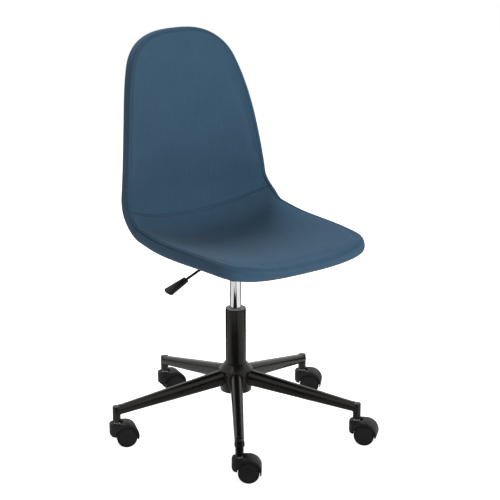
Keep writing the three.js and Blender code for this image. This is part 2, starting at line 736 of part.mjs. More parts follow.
// The lever's line: level from inside the column axis, an arc downwards, then a straight slope.
function leverPath() {
  const slope = degrees(LEVER_SLOPE);
  const bendX = -LEVER_STRAIGHT - LEVER_BEND_R * Math.sin(slope);
  const bendZ = LEVER_Z - LEVER_BEND_R * (1 - Math.cos(slope));
  const path = new THREE.CurvePath();
  const at = (x, z) => new THREE.Vector3(x, 0, z);
  path.add(new THREE.LineCurve3(at(LEVER_INNER_END, LEVER_Z), at(-LEVER_STRAIGHT, LEVER_Z)));
  const corner = LEVER_BEND_R * Math.tan(slope / 2);
  path.add(
    new THREE.QuadraticBezierCurve3(
      at(-LEVER_STRAIGHT, LEVER_Z),
      at(-LEVER_STRAIGHT - corner, LEVER_Z),
      at(bendX, bendZ),
    ),
  );
  const end = at(
    bendX - LEVER_SLOPED_LENGTH * Math.cos(slope),
    bendZ - LEVER_SLOPED_LENGTH * Math.sin(slope),
  );
  path.add(new THREE.LineCurve3(at(bendX, bendZ), end));
  return { path, end, slope };
}

// A round rod swept along a path in the XZ plane, with a ring at each place in stops.
function sweptRod(path, radius, stops, sides = 12) {
  const rings = stops.map((u) => {
    const centre = path.getPointAt(u);
    const along = path.getTangentAt(u);
    const side = new THREE.Vector3(0, 1, 0);
    const up = new THREE.Vector3().crossVectors(along, side);
    return Array.from({ length: sides }, (_, i) => {
      const angle = (2 * Math.PI * i) / sides;
      return centre
        .clone()
        .addScaledVector(side, radius * Math.cos(angle))
        .addScaledVector(up, radius * Math.sin(angle));
    });
  });
  return loft(rings);
}

function leverStops(path) {
  const lengths = path.getCurveLengths();
  const total = lengths[2];
  const bendSteps = 4;
  const stops = [0];
  for (let i = 0; i <= bendSteps; i++) {
    stops.push((lengths[0] + ((lengths[1] - lengths[0]) * i) / bendSteps) / total);
  }
  return [...stops, 1];
}

// Paddle in its own frame: X outwards along the rod, a tapering blade with cut outer corners.
function paddleBlade() {
  const inner = PADDLE_INNER_WIDTH / 2;
  const outer = PADDLE_OUTER_WIDTH / 2;
  const shape = new THREE.Shape();
  shape.moveTo(0, -inner);
  shape.lineTo(PADDLE_LENGTH - PADDLE_CORNER, -outer);
  shape.lineTo(PADDLE_LENGTH, -outer + PADDLE_CORNER);
  shape.lineTo(PADDLE_LENGTH, outer - PADDLE_CORNER);
  shape.lineTo(PADDLE_LENGTH - PADDLE_CORNER, outer);
  shape.lineTo(0, inner);
  const bevel = 1.2;
  const options = {
    depth: PADDLE_THICKNESS - 2 * bevel,
    bevelThickness: bevel,
    bevelSize: bevel,
    bevelOffset: -bevel,
    bevelSegments: 1,
  };
  return new THREE.ExtrudeGeometry(shape, options).translate(0, 0, bevel - PADDLE_THICKNESS / 2);
}

const lever = new THREE.Group();
lever.rotation.z = degrees(-LEVER_YAW);
const leverLine = leverPath();
const leverRodSolid = (radius, path = leverLine.path) =>
  solid(sweptRod(path, radius, leverStops(path)));

// The paddle is pushed on the rod's end: a hole with clearance, blind towards the tip.
function leverPaddle() {
  const start = leverLine.end
    .clone()
    .add(
      new THREE.Vector3(Math.cos(leverLine.slope), 0, Math.sin(leverLine.slope)).multiplyScalar(
        PADDLE_OVER_ROD,
      ),
    );
  const place = new THREE.Matrix4()
    .makeTranslation(start)
    .multiply(new THREE.Matrix4().makeRotationY(-leverLine.slope))
    .multiply(new THREE.Matrix4().makeRotationZ(Math.PI));
  const hole = disc(LEVER_R + GAP, -1, PADDLE_OVER_ROD + GAP, 12).rotateY(Math.PI / 2);
  return geometryOf(solid(paddleBlade()).subtract(solid(hole))).applyMatrix4(place);
}

const pivotBar = (radius, half) => disc(radius, -half, half, 12).rotateX(Math.PI / 2);
const PIVOT_X = -LEVER_PIVOT;
const PIVOT_Z = LEVER_Z - LEVER_R - PIVOT_R - PIVOT_COVER;

// A block clamped on the rod that turns on the pivot pin below it.
function leverBush() {
  const half = BUSH_BLOCK_WIDTH / 2;
  const shape = new THREE.Shape();
  shape.absarc(0, PIVOT_Z, BUSH_BLOCK_R - 1.5, Math.PI, 2 * Math.PI);
  shape.absarc(0, LEVER_Z, BUSH_BLOCK_R - 1, 0, Math.PI);
  const block = raised(shape, -half, half, 6).rotateX(Math.PI / 2).translate(PIVOT_X, 0, 0);
  const rod = leverRodSolid(LEVER_R + GAP).rotate([0, 0, -LEVER_YAW]);
  const pin = pivotBar(PIVOT_R + GAP, half + 1).translate(PIVOT_X, 0, PIVOT_Z);
  const shifted = solid(block.translate(0, leverY(-PIVOT_X), 0));
  return geometryOf(shifted.subtract(rod).subtract(solid(pin.translate(0, leverY(-PIVOT_X), 0))));
}

// How far behind the column axis the lever's line lies, at a distance out from it.
function leverY(out) {
  return out * Math.tan(degrees(LEVER_YAW));
}

// An open-topped box of bent sheet: the floor holds the taper socket, the walls hold the pivot.
function mechanismBox() {
  const y = BOX_FRONT_BACK / 2;
  const outside = solid(box(-BOX_LEVER_SIDE, BOX_FAR_SIDE, -y, y, BOX_Z, BOX_TOP_Z));
  const inside = box(
    -BOX_LEVER_SIDE + BOX_WALL,
    BOX_FAR_SIDE - BOX_WALL,
    -y + BOX_WALL,
    y - BOX_WALL,
    BOX_Z + BOX_WALL,
    BOX_TOP_Z + 1,
  );
  const hole = disc(SOCKET_SLEEVE_R + GAP, BOX_Z - 1, BOX_Z + BOX_WALL + 1, 24);
  const pivot = pivotBar(PIVOT_R + GAP, y + 1).translate(PIVOT_X, 0, PIVOT_Z);
  const slotY = leverY(BOX_LEVER_SIDE);
  const slotHalf = LEVER_R + 1.5;
  const slotZ = LEVER_Z - LEVER_R - 1;
  const slot = box(
    -BOX_LEVER_SIDE - 1,
    -BOX_LEVER_SIDE + BOX_WALL + 1,
    slotY - slotHalf,
    slotY + slotHalf,
    slotZ,
    BOX_TOP_Z + 1,
  );
  return geometryOf(
    outside.subtract(solid(inside)).subtract(solid(hole)).subtract(solid(pivot)).subtract(solid(slot)),
  );
}

const screwPlaces = [
  [-SCREW_X, -SCREW_Y],
  [SCREW_X, -SCREW_Y],
  [SCREW_X, SCREW_Y],
  [-SCREW_X, SCREW_Y],
];

// A pressed tray, rim downwards, with screw holes and a notch where the lever passes.
function seatPlate() {
  const x = PLATE_WIDTH / 2;
  const y = PLATE_DEPTH / 2;
  const t = PLATE_THICKNESS;
  const outline = roundedRectangle(-x, x, -y, y, PLATE_CORNER_R);
  const inner = roundedRectangle(-x + t, x - t, -y + t, y - t, PLATE_CORNER_R - t);
  const rim = PLATE_TOP_Z - PLATE_LIP;
  let plate = solid(raised(outline, rim, PLATE_TOP_Z, 3));
  plate = plate.subtract(solid(raised(inner, rim - 1, PLATE_UNDER_Z, 3)));
  for (const [screwX, screwY] of screwPlaces) {
    const hole = disc(SCREW_R + GAP, PLATE_UNDER_Z - 1, PLATE_TOP_Z + 1, 8);
    plate = plate.subtract(solid(hole.translate(screwX, screwY, 0)));
  }
  const notchY = leverY(x);
  const notch = box(-x - 1, -x + t + 1, notchY - 6, notchY + 6, rim - 1, PLATE_UNDER_Z);
  return geometryOf(plate.subtract(solid(notch)));
}

function plateScrew() {
  const seat = PLATE_UNDER_Z - GAP;
  return turned(
    [
      [0, seat - SCREW_HEAD_HEIGHT],
      [SCREW_HEAD_R - 1.5, seat - SCREW_HEAD_HEIGHT],
      [SCREW_HEAD_R, seat - 1.2],
      [SCREW_HEAD_R, seat],
      [SCREW_R, seat],
      [SCREW_R, seat + SCREW_LENGTH],
      [0, seat + SCREW_LENGTH],
    ],
    8,
  );
}

add(chair, "taper_socket", taperSocket(), PAINTED_STEEL);
add(chair, "mechanism_box", mechanismBox(), PAINTED_STEEL);
add(chair, "seat_plate", seatPlate(), PAINTED_STEEL);
const screwShape = plateScrew();
screwPlaces.forEach(([x, y], i) => {
  add(chair, `plate_screw_${i + 1}`, screwShape, BRIGHT_STEEL).position.set(x, y, 0);
});
add(lever, "lever_rod", geometryOf(leverRodSolid(LEVER_R)), PAINTED_STEEL);
add(lever, "lever_paddle", leverPaddle(), BLACK_NYLON);
chair.add(lever);
add(chair, "lever_bush", leverBush(), BLACK_NYLON);
const pinHalf = BOX_FRONT_BACK / 2 + 1.5;
add(chair, "pivot_pin", pivotBar(PIVOT_R, pinHalf).translate(PIVOT_X, 0, PIVOT_Z), BRIGHT_STEEL);

// ---------------------------------------------------------------- bucket seat
// The middle line as a chain of arcs: [length, turn in degrees], from the front edge.
const SEAT_CHAIN = [
  [LIP_RADIUS * degrees(LIP_ANGLE), -LIP_ANGLE],
  [SEAT_FLAT, 0],
  [BEND_RADIUS * degrees(BACK_ANGLE + SEAT_SLOPE), BACK_ANGLE + SEAT_SLOPE],
  [BACK_LENGTH, -BACK_CURVE],
];
const SEAT_LENGTH = SEAT_CHAIN.reduce((sum, [length]) => sum + length, 0);

// Point and heading of the middle line at the distance s, counted from a start at y = z = 0.
function chainPoint(s) {
  let y = 0;
  let z = 0;
  let heading = degrees(LIP_ANGLE - SEAT_SLOPE);
  let left = s;
  for (const [index, [length, turn]] of SEAT_CHAIN.entries()) {
    const step = index === SEAT_CHAIN.length - 1 ? left : Math.min(left, length);
    const curvature = degrees(turn) / length;
    const next = heading + curvature * step;
    if (curvature === 0) {
      y += step * Math.cos(heading);
      z += step * Math.sin(heading);
    } else {
      y += (Math.sin(next) - Math.sin(heading)) / curvature;
      z += (Math.cos(heading) - Math.cos(next)) / curvature;
    }
    heading = next;
    left -= step;
    if (left <= 0) break;
  }
  return { y, z, heading };
}

const seatOver = chainPoint(SEAT_FRONT + SEAT_CHAIN[0][0]); // the point over the column

// A smooth curve through pairs of share of the length and value.
function smooth(pairs) {
  const slopes = pairs.map((_, i) => {
    const [x0, y0] = pairs[Math.max(0, i - 1)];
    const [x1, y1] = pairs[Math.min(pairs.length - 1, i + 1)];
    return (y1 - y0) / (x1 - x0);
  });
  return (share) => {
    let i = 0;
    while (i < pairs.length - 2 && share > pairs[i + 1][0]) i += 1;
    const [x0, y0] = pairs[i];
    const [x1, y1] = pairs[i + 1];
    const span = x1 - x0;
    const t = (share - x0) / span;
    const flat = y0 + (y1 - y0) * t * t * (3 - 2 * t);
    const start = slopes[i] * span * t * (1 - t) ** 2;
    const end = slopes[i + 1] * span * t * t * (t - 1);
    return flat + start + end;
  };
}
const halfWidthAt = smooth(HALF_WIDTHS);
const dishAt = smooth(DISH);

// A place in the seat: s along the middle line, x across, n out of the sitting surface.
function seatPoint(s, x, n) {
  const { y, z, heading } = chainPoint(s);
  const share = s / SEAT_LENGTH;
  const rise = n + dishAt(share) * Math.abs(x / halfWidthAt(share)) ** DISH_POWER;
  return new THREE.Vector3(
    x,
    y - seatOver.y - rise * Math.sin(heading),
    z - seatOver.z + SEAT_Z + rise * Math.cos(heading),
  );
}

// A place in a rounded end, given by its share a of the half width (-1 to 1), its share b of the
// end's length (0 where the end starts, 1 at the tip) and its ring counted from the edge. The rings
// follow the outline; the places inside them shrink towards the middle.
function endPlace(a, b, ringIndex, insets, { length, power, tip }) {
  const roundX = a * Math.sqrt(1 - (b * b) / 2);
  const roundY = b * Math.sqrt(1 - (a * a) / 2);
  const size = (Math.abs(roundX) ** power + Math.abs(roundY) ** power) ** (1 / power);
  const deepest = insets.length - 1;
  const inset = insets[Math.min(ringIndex, deepest)];
  const start = halfWidthAt(Math.abs(tip - length) / SEAT_LENGTH);
  const level = Math.max(Math.abs(a) / (1 - inset / start), b / (1 - inset / length));
  const r = ringIndex < deepest ? 1 : Math.min(1, level);
  const s = Math.abs(tip - inset - (length - inset) * (1 - (roundY / size) * r));
  return { s, x: (roundX / size) * r * (halfWidthAt(s / SEAT_LENGTH) - inset) };
}

const FRONT = { length: FRONT_END, power: FRONT_POWER, tip: 0 };
const TOP = { length: TOP_END, power: TOP_POWER, tip: SEAT_LENGTH };

// The places of a layer's grid, row by row from the front edge: kept inside the edge by inset, with
// more rings at the distances in rim. from and to cut the layer straight across; null there leaves
// the rounded end. Each place knows its ring, counted from the edge.
function layerPlaces({ inset, rim, from, to }) {
  const insets = [inset, ...rim.map((d) => inset + d)];
  const middle = [-0.62, -0.32, 0, 0.32, 0.62];
  const columns = (s) => {
    const width = halfWidthAt(s / SEAT_LENGTH);
    const edge = insets.map((d) => 1 - d / width);
    return [...edge.map((a) => -a), ...middle, ...edge.reverse()];
  };
  const count = columns(0).length;
  const ringAcross = (j) => Math.min(j, count - 1 - j);
  const straight = (s) => {
    const width = halfWidthAt(s / SEAT_LENGTH);
    return columns(s).map((a, j) => ({ s, x: a * width, ring: ringAcross(j) }));
  };
  const endRows = (end) =>
    [...insets.map((d) => 1 - d / end.length), 0.5, 0.22].map((b, i) =>
      columns(Math.abs(end.tip - end.length)).map((a, j) => {
        const ring = Math.min(i, ringAcross(j));
        return { ...endPlace(a, b, ring, insets, end), ring };
      }),
    );
  const first = from ?? FRONT_END;
  const last = to ?? SEAT_LENGTH - TOP_END;
  const inside = STATIONS.filter((s) => s > first + 8 && s < last - 8);
  return [
    ...(from === null ? endRows(FRONT) : []),
    ...[first, ...inside, last].map(straight),
    ...(to === null ? endRows(TOP).reverse() : []),
  ];
}

// A closed layer between two heights over the sitting surface. topDrops and bottomDrops change the
// height of the rings from the edge inwards, so that an edge can be rounded.
function layer({ top, bottom, topDrops = [], bottomDrops = [], ...extent }) {
  const places = layerPlaces(extent);
  const surface = (height, drops) =>
    places.map((row) =>
      row.map(({ s, x, ring }) => seatPoint(s, x, height + (drops[ring] ?? 0))),
    );
  return sheetSolid(surface(top, topDrops), surface(bottom, bottomDrops));
}

// Closes a top and a bottom grid of points into one solid.
function sheetSolid(upper, lower) {
  const rowCount = upper.length;
  const columnCount = upper[0].length;
  const positions = [...upper.flat(), ...lower.flat()].flatMap((p) => [p.x, p.y, p.z]);
  const low = rowCount * columnCount;
  const at = (i, j) => i * columnCount + j;
  const faces = [];
  const quad = (a, b, c, d) => faces.push(a, b, c, a, c, d);
  for (let i = 0; i + 1 < rowCount; i++) {
    for (let j = 0; j + 1 < columnCount; j++) {
      quad(at(i, j), at(i, j + 1), at(i + 1, j + 1), at(i + 1, j));
      quad(low + at(i, j), low + at(i + 1, j), low + at(i + 1, j + 1), low + at(i, j + 1));
    }
  }
  const edge = [];
  for (let j = 0; j < columnCount; j++) edge.push(at(0, j));
  for (let i = 1; i < rowCount; i++) edge.push(at(i, columnCount - 1));
  for (let j = columnCount - 2; j >= 0; j--) edge.push(at(rowCount - 1, j));
  for (let i = rowCount - 2; i > 0; i--) edge.push(at(i, 0));
  edge.forEach((a, k) => {
    const b = edge[(k + 1) % edge.length];
    quad(b, a, low + a, low + b);
  });
  const geometry = new THREE.BufferGeometry();
  geometry.setAttribute("position", new THREE.Float32BufferAttribute(positions, 3));
  geometry.setIndex(faces);
  return solid(geometry);
}

// Rows of the grid: closer together in the bend, where the surface turns most.
const BEND_STEP = 46;
const bendRows = [-2, -1, 0, 1, 2].map((i) => CROSS_SEAM + BEND_STEP * i);
const between = (a, b, shares) => shares.map((t) => a + (b - a) * t);
const STATIONS = [
  ...between(FRONT_END, bendRows[0], [0.34, 0.67]),
  ...bendRows,
  ...between(bendRows[4], SEAT_LENGTH - TOP_END, [0.34, 0.67]),
];

const SHELL_UNDER = COVER_FLOOR - SEAT_THICKNESS + GAP;
const SHELL_OVER = SHELL_UNDER + SHELL_THICKNESS;
const PAD_UNDER = SHELL_OVER + GAP;
const WHOLE = { rim: INNER_RINGS, from: null, to: null };

// Everything that the cover wraps: the pads and below them the shell, with clearance.
const PARTING = PAD_UNDER - GAP / 2;
const room = { ...WHOLE, inset: COVER_RIM };
const cavity = layer({ ...room, top: 2, bottom: -PAD_EDGE })
  .add(layer({ ...room, top: -PAD_EDGE, bottom: PARTING }))
  .add(layer({ ...room, top: PARTING, bottom: SHELL_UNDER - GAP }));

const bossColumns = screwPlaces.map(([x, y]) => {
  const plate = PLATE_TOP_Z + GAP;
  return { x, y, plate };
});

// The moulded shell with its four bosses down to the seat plate, bored from below.
function seatShell() {
  const edge = { ...WHOLE, inset: COVER_RIM + GAP };
  const sheet = layer({ ...edge, top: SHELL_OVER, bottom: SHELL_UNDER });
  const above = layer({ ...edge, top: SEAT_HEIGHT, bottom: SHELL_OVER - 1 });
  let body = sheet;
  for (const { x, y, plate } of bossColumns) {
    const boss = solid(disc(BOSS_R, plate, SEAT_Z, 12).translate(x, y, 0));
    body = body.add(boss.subtract(above));
  }
  for (const { x, y, plate } of bossColumns) {
    const deep = PLATE_UNDER_Z + SCREW_LENGTH;
    body = body.subtract(solid(disc(SCREW_R + GAP, plate - 1, deep, 8).translate(x, y, 0)));
  }
  return geometryOf(body);
}

// The outer cover: a tray whose rounded rim wraps the pads, with holes for the bosses and pressed
// flat where it bears on the seat plate.
function outerCover() {
  const outside = layer({
    ...WHOLE,
    inset: 0,
    rim: COVER_RINGS,
    top: 0,
    bottom: -SEAT_THICKNESS,
    topDrops: [-TOP_EDGE_R, -TOP_EDGE_R / 4, 0, 0],
    bottomDrops: [BOTTOM_EDGE_R, BOTTOM_EDGE_R * 0.42, BOTTOM_EDGE_R * 0.12, 0],
  });
  const plateX = PLATE_WIDTH / 2 + GAP;
  const plateY = PLATE_DEPTH / 2 + GAP;
  const pressed = box(-plateX, plateX, -plateY, plateY, BOX_Z, PLATE_TOP_Z + GAP);
  let body = outside.subtract(cavity).subtract(solid(pressed));
  for (const { x, y, plate } of bossColumns) {
    body = body.subtract(solid(disc(BOSS_R + GAP, plate, SEAT_Z, 12).translate(x, y, 0)));
  }
  return geometryOf(body);
}

// A pad: foam and front fabric, with a softened edge along the cover's rim.
function pad(from, to) {
  return geometryOf(
    layer({
      inset: COVER_RIM + GAP,
      rim: INNER_RINGS,
      from,
      to,
      top: 0,
      bottom: PAD_UNDER,
      topDrops: [-PAD_EDGE - GAP],
    }),
  );
}

add(chair, "seat_shell", seatShell(), SHELL_PLASTIC);
add(chair, "seat_pad", pad(null, CROSS_SEAM - SEAM_GAP / 2), BLUE_FABRIC);
add(chair, "back_pad", pad(CROSS_SEAM + SEAM_GAP / 2, null), BLUE_FABRIC);
add(chair, "outer_cover", outerCover(), BLUE_FABRIC);

export default chair;
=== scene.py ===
"""Swivel office chair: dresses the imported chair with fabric, paint, nylon and chrome pieces.

Run as a script inside Blender. Every length is in metres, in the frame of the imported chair.
"""

import json
import math

import bmesh
import bpy
from mathutils import Matrix, Vector, noise
from mathutils.bvhtree import BVHTree

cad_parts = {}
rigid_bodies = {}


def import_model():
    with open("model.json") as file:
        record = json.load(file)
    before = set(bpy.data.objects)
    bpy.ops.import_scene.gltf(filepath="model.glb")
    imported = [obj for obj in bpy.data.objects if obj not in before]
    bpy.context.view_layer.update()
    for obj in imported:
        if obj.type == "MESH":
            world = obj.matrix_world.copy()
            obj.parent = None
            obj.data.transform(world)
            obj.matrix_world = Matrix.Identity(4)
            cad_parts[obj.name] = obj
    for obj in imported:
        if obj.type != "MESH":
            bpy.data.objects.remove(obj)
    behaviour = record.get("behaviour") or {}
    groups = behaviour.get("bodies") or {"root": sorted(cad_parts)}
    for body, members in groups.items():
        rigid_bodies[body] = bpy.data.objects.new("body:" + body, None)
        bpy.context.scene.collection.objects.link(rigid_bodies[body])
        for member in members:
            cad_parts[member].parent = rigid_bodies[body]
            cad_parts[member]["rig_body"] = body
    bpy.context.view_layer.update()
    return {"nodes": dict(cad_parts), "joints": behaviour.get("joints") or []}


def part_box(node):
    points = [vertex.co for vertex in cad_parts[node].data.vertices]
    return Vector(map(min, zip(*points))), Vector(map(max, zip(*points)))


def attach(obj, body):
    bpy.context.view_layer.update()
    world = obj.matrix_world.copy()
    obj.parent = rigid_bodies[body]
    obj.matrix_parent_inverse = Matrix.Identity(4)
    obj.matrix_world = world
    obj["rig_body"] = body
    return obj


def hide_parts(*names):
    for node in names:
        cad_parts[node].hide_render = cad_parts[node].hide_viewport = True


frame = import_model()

bl_info = {
    "name": "Swivel Office Chair",
    "version": (1, 0, 0),
    "blender": (4, 5, 0),
    "location": "View3D > Sidebar > Chair",
    "description": "Builds the upholstery, base, casters, gas lift and lever of a swivel chair",
    "category": "Object",
}

MM = 0.001
LEGS = range(1, 6)


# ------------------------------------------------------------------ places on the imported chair
def middle(node):
    """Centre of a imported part's box."""
    low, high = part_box(node)
    return (low + high) / 2


def bottom(node):
    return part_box(node)[0].z


def top(node):
    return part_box(node)[1].z


def joint(name):
    """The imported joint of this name."""
    return next(j for j in frame["joints"] if j["name"] == name)


COLUMN = middle("column_tube")
AXIS_X, AXIS_Y = COLUMN.x, COLUMN.y
REST = Matrix.Translation((AXIS_X, AXIS_Y, 0))


def stem_place(k):
    """The caster stem's axis on the floor."""
    x, y, _ = joint(f"caster_swivel_{k}")["pos_m"]
    return Vector((x, y, 0))


def heading(along):
    """Turns +X to a level direction."""
    return Matrix.Rotation(math.atan2(along.y, along.x), 4, "Z")


def caster_place(k):
    """Puts a caster's own frame, stem at the origin and wheels towards +X, in its place."""
    axle = Vector(joint(f"wheel_spin_{k}_left")["pos_m"])
    return Matrix.Translation(stem_place(k)) @ heading(axle - stem_place(k))


def leg_place(k):
    """Puts a leg's own frame, hub at the origin and leg along +X, in its place."""
    return REST @ heading(stem_place(k) - Vector((AXIS_X, AXIS_Y, 0)))


# ------------------------------------------------------------------ sizes and colours
class ChairFabric(bpy.types.PropertyGroup):
    """Fabric, foam and seams"""

    colour: bpy.props.FloatVectorProperty(
        name="Fabric colour",
        description="Mean colour of the woven upholstery",
        subtype="COLOR",
        size=3,
        min=0,
        max=1,
        default=(0.051, 0.106, 0.168),
    )
    thread_pitch: bpy.props.FloatProperty(
        name="Thread pitch",
        description="Distance between two threads of the weave",
        default=1.3 * MM,
        unit="LENGTH",
    )
    slub: bpy.props.FloatProperty(
        name="Slub",
        description="How much single threads differ in tone",
        default=0.12,
        subtype="FACTOR",
        min=0,
        max=1,
    )
    edge_dip: bpy.props.FloatProperty(
        name="Edge dip",
        description="How far the fabric is pulled in along the edge seam beside the seat",
        default=1.9 * MM,
        unit="LENGTH",
    )
    seam_dip: bpy.props.FloatProperty(
        name="Cross seam dip",
        description="How far the pads are pulled in along the cross seam",
        default=1.1 * MM,
        unit="LENGTH",
    )
    swell: bpy.props.FloatProperty(
        name="Swell",
        description="Most that the foam may push the front fabric out",
        default=3.0 * MM,
        unit="LENGTH",
    )
    stitch_length: bpy.props.FloatProperty(
        name="Stitch length",
        description="Length of one stitch of the seams",
        default=3.0 * MM,
        unit="LENGTH",
    )
    stitch_gap: bpy.props.FloatProperty(
        name="Stitch gap",
        description="Distance between two stitches of a row",
        default=1.2 * MM,
        unit="LENGTH",
    )
    thread_radius: bpy.props.FloatProperty(
        name="Thread radius",
        description="Radius of the sewing thread",
        default=0.26 * MM,
        unit="LENGTH",
    )


class ChairMetal(bpy.types.PropertyGroup):
    """Steel and moulded parts of the base, casters and lever"""

    paint: bpy.props.FloatVectorProperty(
        name="Paint colour",
        description="Gloss paint of the base and the column",
        subtype="COLOR",
        size=3,
        min=0,
        max=1,
        default=(0.0032, 0.003, 0.0026),
    )
    paint_roughness: bpy.props.FloatProperty(
        name="Paint roughness",
        description="Mean roughness of the painted steel",
        default=0.19,
        subtype="FACTOR",
        min=0,
        max=1,
    )
    nylon: bpy.props.FloatVectorProperty(
        name="Nylon colour",
        description="Moulded nylon of the casters and the lever's paddle",
        subtype="COLOR",
        size=3,
        min=0,
        max=1,
        default=(0.0055, 0.0054, 0.005),
    )
    weld_radius: bpy.props.FloatProperty(
        name="Weld bead",
        description="Radius of the weld round each leg",
        default=1.1 * MM,
        unit="LENGTH",
    )
    edge_round: bpy.props.FloatProperty(
        name="Edge rounding",
        description="Rounding of moulded and sawn edges",
        default=0.7 * MM,
        unit="LENGTH",
    )


class ChairStage(bpy.types.PropertyGroup):
    """Backdrop, light and lens"""

    backdrop: bpy.props.FloatProperty(
        name="Backdrop",
        description="Brightness of the floor and the backdrop as the camera sees them",
        default=1.0,
        min=0,
        max=1,
    )
    key_power: bpy.props.FloatProperty(
        name="Key lamp",
        description="Power of the large lamp above the chair",
        default=4,
        unit="POWER",
    )
    front_power: bpy.props.FloatProperty(
        name="Front lamp",
        description="Power of the soft lamp on the camera's side",
        default=56,
        unit="POWER",
    )
    fill: bpy.props.FloatProperty(
        name="Fill light",
        description="Strength of the even light from all round",
        default=0.37,
        min=0,
    )
    lens: bpy.props.FloatProperty(
        name="Lens",
        description="Focal length of the camera",
        default=119.9,
        subtype="DISTANCE_CAMERA",
    )


# ------------------------------------------------------------------ materials
# Outputs by their place in a node: Object of Texture Coordinate, Fac of Attribute, and three of the
# rays of Light Path.
OBJECT_PLACE = 3
ATTRIBUTE_FAC = 2
CAMERA_RAY, GLOSSY_RAY, TRANSMISSION_RAY = 0, 3, 6


class Value:
    """A socket of a material; arithmetic on it adds Math nodes."""

    def __init__(self, look, socket):
        self.look = look
        self.socket = socket

    def math(self, operation, *others):
        return self.look.math(operation, self, *others)

    def __add__(self, other):
        return self.math("ADD", other)

    def __sub__(self, other):
        return self.math("SUBTRACT", other)

    def __mul__(self, other):
        return self.math("MULTIPLY", other)

    def __rsub__(self, other):
        return self.look.math("SUBTRACT", other, self)

    __radd__ = __add__
    __rmul__ = __mul__


class Nodes:
    """A node tree under construction."""

    def __init__(self, tree):
        self.tree = tree
        tree.nodes.clear()

    def feed(self, socket, value):
        if isinstance(value, Value):
            self.tree.links.new(value.socket, socket)
        elif hasattr(socket.default_value, "__len__") and len(socket.default_value) == 4:
            socket.default_value = (*value, 1.0)
        else:
            socket.default_value = value

    def node(self, kind, settings=None, values=None):
        """Adds a node and returns its outputs in order, as values."""
        new = self.tree.nodes.new(kind)
        for setting, choice in (settings or {}).items():
            setattr(new, setting, choice)
        for socket, value in (values or {}).items():
            self.feed(new.inputs[socket], value)
        return [Value(self, output) for output in new.outputs]

    def math(self, operation, *values):
        return self.node("ShaderNodeMath", {"operation": operation}, dict(enumerate(values)))[0]

    def place(self):
        """Position on the finished piece."""
        return self.node("ShaderNodeTexCoord")[OBJECT_PLACE]

    def mixed(self, factor, first, second, how="MIX"):
        settings = {"data_type": "RGBA", "blend_type": how}
        return self.node("ShaderNodeMix", settings, {0: factor, 6: first, 7: second})[2]

    def noise(self, vector, scale, detail=2.0, roughness=0.5):
        values = {"Vector": vector, "Scale": scale, "Detail": detail, "Roughness": roughness}
        return self.node("ShaderNodeTexNoise", {}, values)[0]

    def stretched(self, vector, scale):
        return self.node("ShaderNodeMapping", {}, {"Vector": vector, "Scale": scale})[0]

    def ranged(self, value, low, high, to_low, to_high):
        values = {0: value, 1: low, 2: high, 3: to_low, 4: to_high}
        return self.node("ShaderNodeMapRange", {}, values)[0]

    def spread(self, value, low=0.3, high=0.7):
        """Spreads a noise's usual values over 0 to 1."""
        return self.ranged(value, low, high, 0.0, 1.0)

    def bump(self, height, distance, strength=1.0, under=None):
        values = {"Height": height, "Distance": distance, "Strength": strength}
        if under is not None:
            values["Normal"] = under
        return self.node("ShaderNodeBump", {}, values)[0]


class Look(Nodes):
    """A material under construction, with one Principled shader."""

    def __init__(self, name, **constants):
        self.material = bpy.data.materials.new(name)
        self.material.use_nodes = True
        super().__init__(self.material.node_tree)
        self.shader = self.tree.nodes.new("ShaderNodeBsdfPrincipled")
        surface = self.tree.nodes.new("ShaderNodeOutputMaterial")
        self.tree.links.new(self.shader.outputs[0], surface.inputs["Surface"])
        self.feed_shader(**constants)

    def feed_shader(self, **values):
        for socket, value in values.items():
            self.feed(self.shader.inputs[socket.replace("_", " ")], value)


def tone(colour, factor):
    """A colour made darker or lighter."""
    return tuple(min(1.0, c * factor) for c in colour)


def woven_fabric(name, settings, shade=1.0):
    """Plain weave on the piece's own map: threads over and under, with slubs and melange, and
    painted shade along the seams.
    """
    # A shade under 1 darkens the whole fabric, as painted shade.
    colour = tone(settings.colour, shade)
    look = Look(name, Roughness=0.9, Sheen_Weight=0.04, Sheen_Roughness=0.5, Specular_IOR_Level=0.2)
    weave = look.node("ShaderNodeUVMap", {"uv_map": "weave"})[0]
    across, along, _ = look.node("ShaderNodeSeparateXYZ", {}, {0: weave})
    turn = math.pi / settings.thread_pitch
    warp = (across * turn).math("SINE")
    weft = (along * turn).math("SINE")
    over = warp * weft * 0.5 + 0.5
    threads = warp.math("ABSOLUTE") * over + weft.math("ABSOLUTE") * (1 - over)
    upright = look.noise(look.stretched(weave, (620, 16, 1)), 1.0, 3.0, 0.6)
    level = look.noise(look.stretched(weave, (14, 620, 1)), 1.0, 3.0, 0.6)
    slubs = look.spread(upright * 0.6 + level * 0.4, 0.35, 0.65)
    cloud = look.spread(look.noise(look.place(), 9.0, 3.0))
    light = look.mixed(slubs, tone(colour, 1 - settings.slub), tone(colour, 1 + settings.slub))
    shaded = look.mixed(threads * 0.15, light, tone(colour, 0.45))
    clouded = look.mixed(cloud * 0.10, shaded, tone(colour, 1.5))
    # Painted shade: the crease attribute darkens the colour towards 12% along the seams and under
    # the stitches.
    crease = look.node("ShaderNodeAttribute", {"attribute_name": "crease"})[ATTRIBUTE_FAC]
    seam_shaded = look.mixed(crease, clouded, tone(colour, 0.12))
    height = threads * 0.7 + slubs * 0.3
    look.feed_shader(
        Base_Color=seam_shaded,
        Roughness=look.ranged(slubs, 0.0, 1.0, 0.92, 0.8),
        Normal=look.bump(height, 0.22 * MM, 0.7),
    )
    return look.material


def sewing_thread(settings):
    """Matt twisted thread, a little darker than the fabric."""
    look = Look("sewing_thread", Roughness=0.7)
    twist = look.noise(look.place(), 900.0, 2.0)
    colour = tone(settings.colour, 0.85)
    look.feed_shader(
        Base_Color=look.mixed(twist, tone(colour, 0.8), tone(colour, 1.25)),
        Normal=look.bump(twist, 0.1 * MM),
    )
    return look.material


